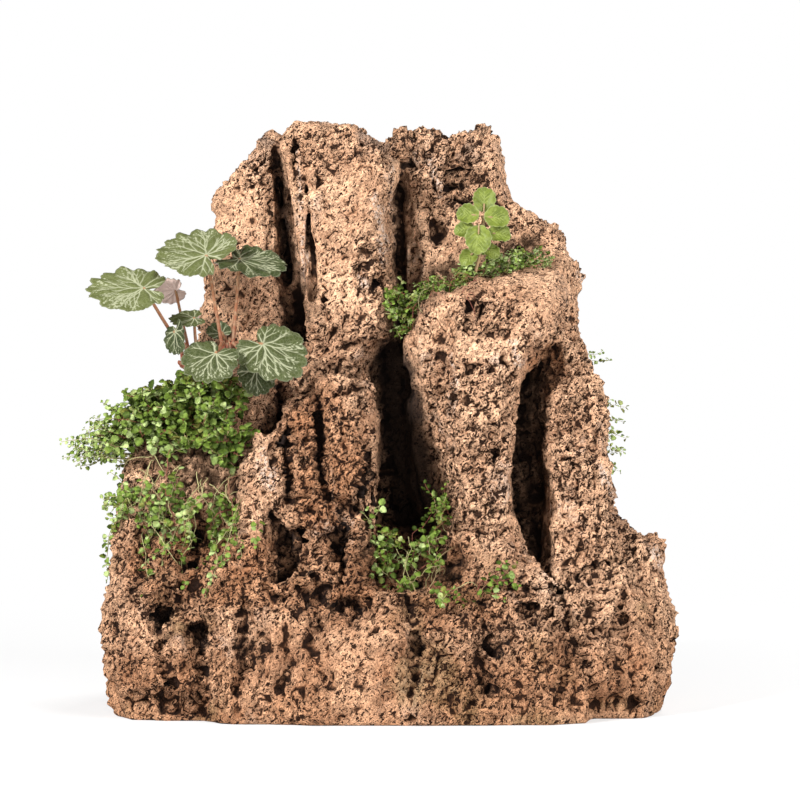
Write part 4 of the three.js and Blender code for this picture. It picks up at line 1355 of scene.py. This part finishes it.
saxifrageMaterial = makeSaxifrage(saxifrageColours)
leafRng = np.random.default_rng(saxifrageLook["seed"])
for name, leaf in saxifrageLeaves.items():
    finishPiece(makeSaxifrageLeaf(name, leaf, saxifrageLook, leafRng), saxifrageMaterial, name)
for name, middle in saxifrageCrowns.items():
    crownPiece = "crownRight" if name == "crown_right" else "crownLeft"
    finishPiece(makeCrown(crownPiece, middle, crownLook, leafRng), saxifrageMaterial, name)
print("saxifrage ready")

creeperMaterial = makeCreeperMaterial(creeperColours)
for node, look in creepers.items():
    finishPiece(makeCreeper(node, look, stone, stoneTree), creeperMaterial, node)

sproutMaterial = makeSproutMaterial(sproutColours)
finishPiece(makeSproutStem(sproutLook), sproutMaterial, "sprout_stem")
for number, leaf in enumerate(sproutLeaves, 1):
    piece = makeSproutLeaf(number, leaf, sproutLook, leafRng)
    finishPiece(piece, sproutMaterial, f"sprout_leaf_{number}")
print("sprout ready")


# Floor, light and camera

studio = {
    # the floor's share of plain white, near and far, and the metres from the stone over which it fades
    "floor": {"size": 12, "grey": 0.82, "roughness": 0.8, "near": 0.55, "far": 1.0, "fade": (0.2, 0.75)},
    "ambient": 0.17,
    "aim": (0, 0, 0.15),
    "lights": {
        "key": {"place": (-0.95, -0.95, 0.85), "size": 0.3, "power": 33},
        "fill": {"place": (0.95, -0.8, 0.7), "size": 0.7, "power": 18.5},
        "front": {"place": (0.1, -1.5, 0.3), "size": 0.9, "power": 4},
        "back": {"place": (0.7, 1.3, 0.9), "size": 0.8, "power": 20},
    },
    "camera": {"lens": 93, "sensor": 36, "tilt": 91.39},  # it stands at the viewing point
}


# Mixes another shader in, only where the camera looks straight at it
def seenInstead(tree, output, plain, seen, share=1.0):
    ray = addNode(tree, "ShaderNodeLightPath").outputs["Is Camera Ray"]
    inputs = {0: multiply(tree, ray, share), 1: plain.outputs[0], 2: seen.outputs[0]}
    mix = addNode(tree, "ShaderNodeMixShader", inputs)
    tree.links.new(mix.outputs[0], tree.nodes[output].inputs[0])


def makeFloor(look):
    bpy.ops.mesh.primitive_plane_add(size=look["size"])
    floor = bpy.context.object
    floor.name = "floor"
    material, tree, shader = newMaterial("floor")
    setInputs(tree, shader, {"Base Color": (look["grey"],) * 3, "Roughness": look["roughness"]})
    away = addNode(tree, "ShaderNodeVectorMath", {0: objectPlace(tree)}, operation="LENGTH").outputs["Value"]
    white = fade(tree, away, *look["fade"], look["near"], look["far"])
    glow = addNode(tree, "ShaderNodeEmission", {"Color": (1, 1, 1), "Strength": 1.0})
    seenInstead(tree, "Material Output", shader, glow, white)
    floor.data.materials.append(material)


def addLight(name, look, aim):
    light = bpy.data.lights.new(name, "AREA")
    light.size = look["size"]
    light.energy = look["power"]
    lamp = addObject(name, light)
    lamp.location = look["place"]
    way = Vector(aim) - Vector(look["place"])
    lamp.rotation_euler = way.to_track_quat("-Z", "Y").to_euler()


def makeWorld(ambient):
    world = bpy.data.worlds.new("studio")
    bpy.context.scene.world = world
    world.use_nodes = True
    tree = world.node_tree
    glow = tree.nodes["Background"]
    setInputs(tree, glow, {"Color": (1, 1, 1), "Strength": ambient})
    white = addNode(tree, "ShaderNodeBackground", {"Color": (1, 1, 1), "Strength": 1.0})
    seenInstead(tree, "World Output", glow, white)


def makeCamera(look):
    camera = bpy.data.cameras.new("camera")
    camera.lens = look["lens"]
    camera.sensor_width = look["sensor"]
    holder = addObject("camera", camera)
    holder.location = np.array(viewPoint) * mm
    holder.rotation_euler = (math.radians(look["tilt"]), 0, 0)
    bpy.context.scene.camera = holder


makeFloor(studio["floor"])
makeWorld(studio["ambient"])
for name, look in studio["lights"].items():
    addLight(name, look, studio["aim"])
makeCamera(studio["camera"])
bpy.context.scene.view_settings.view_transform = "Standard"
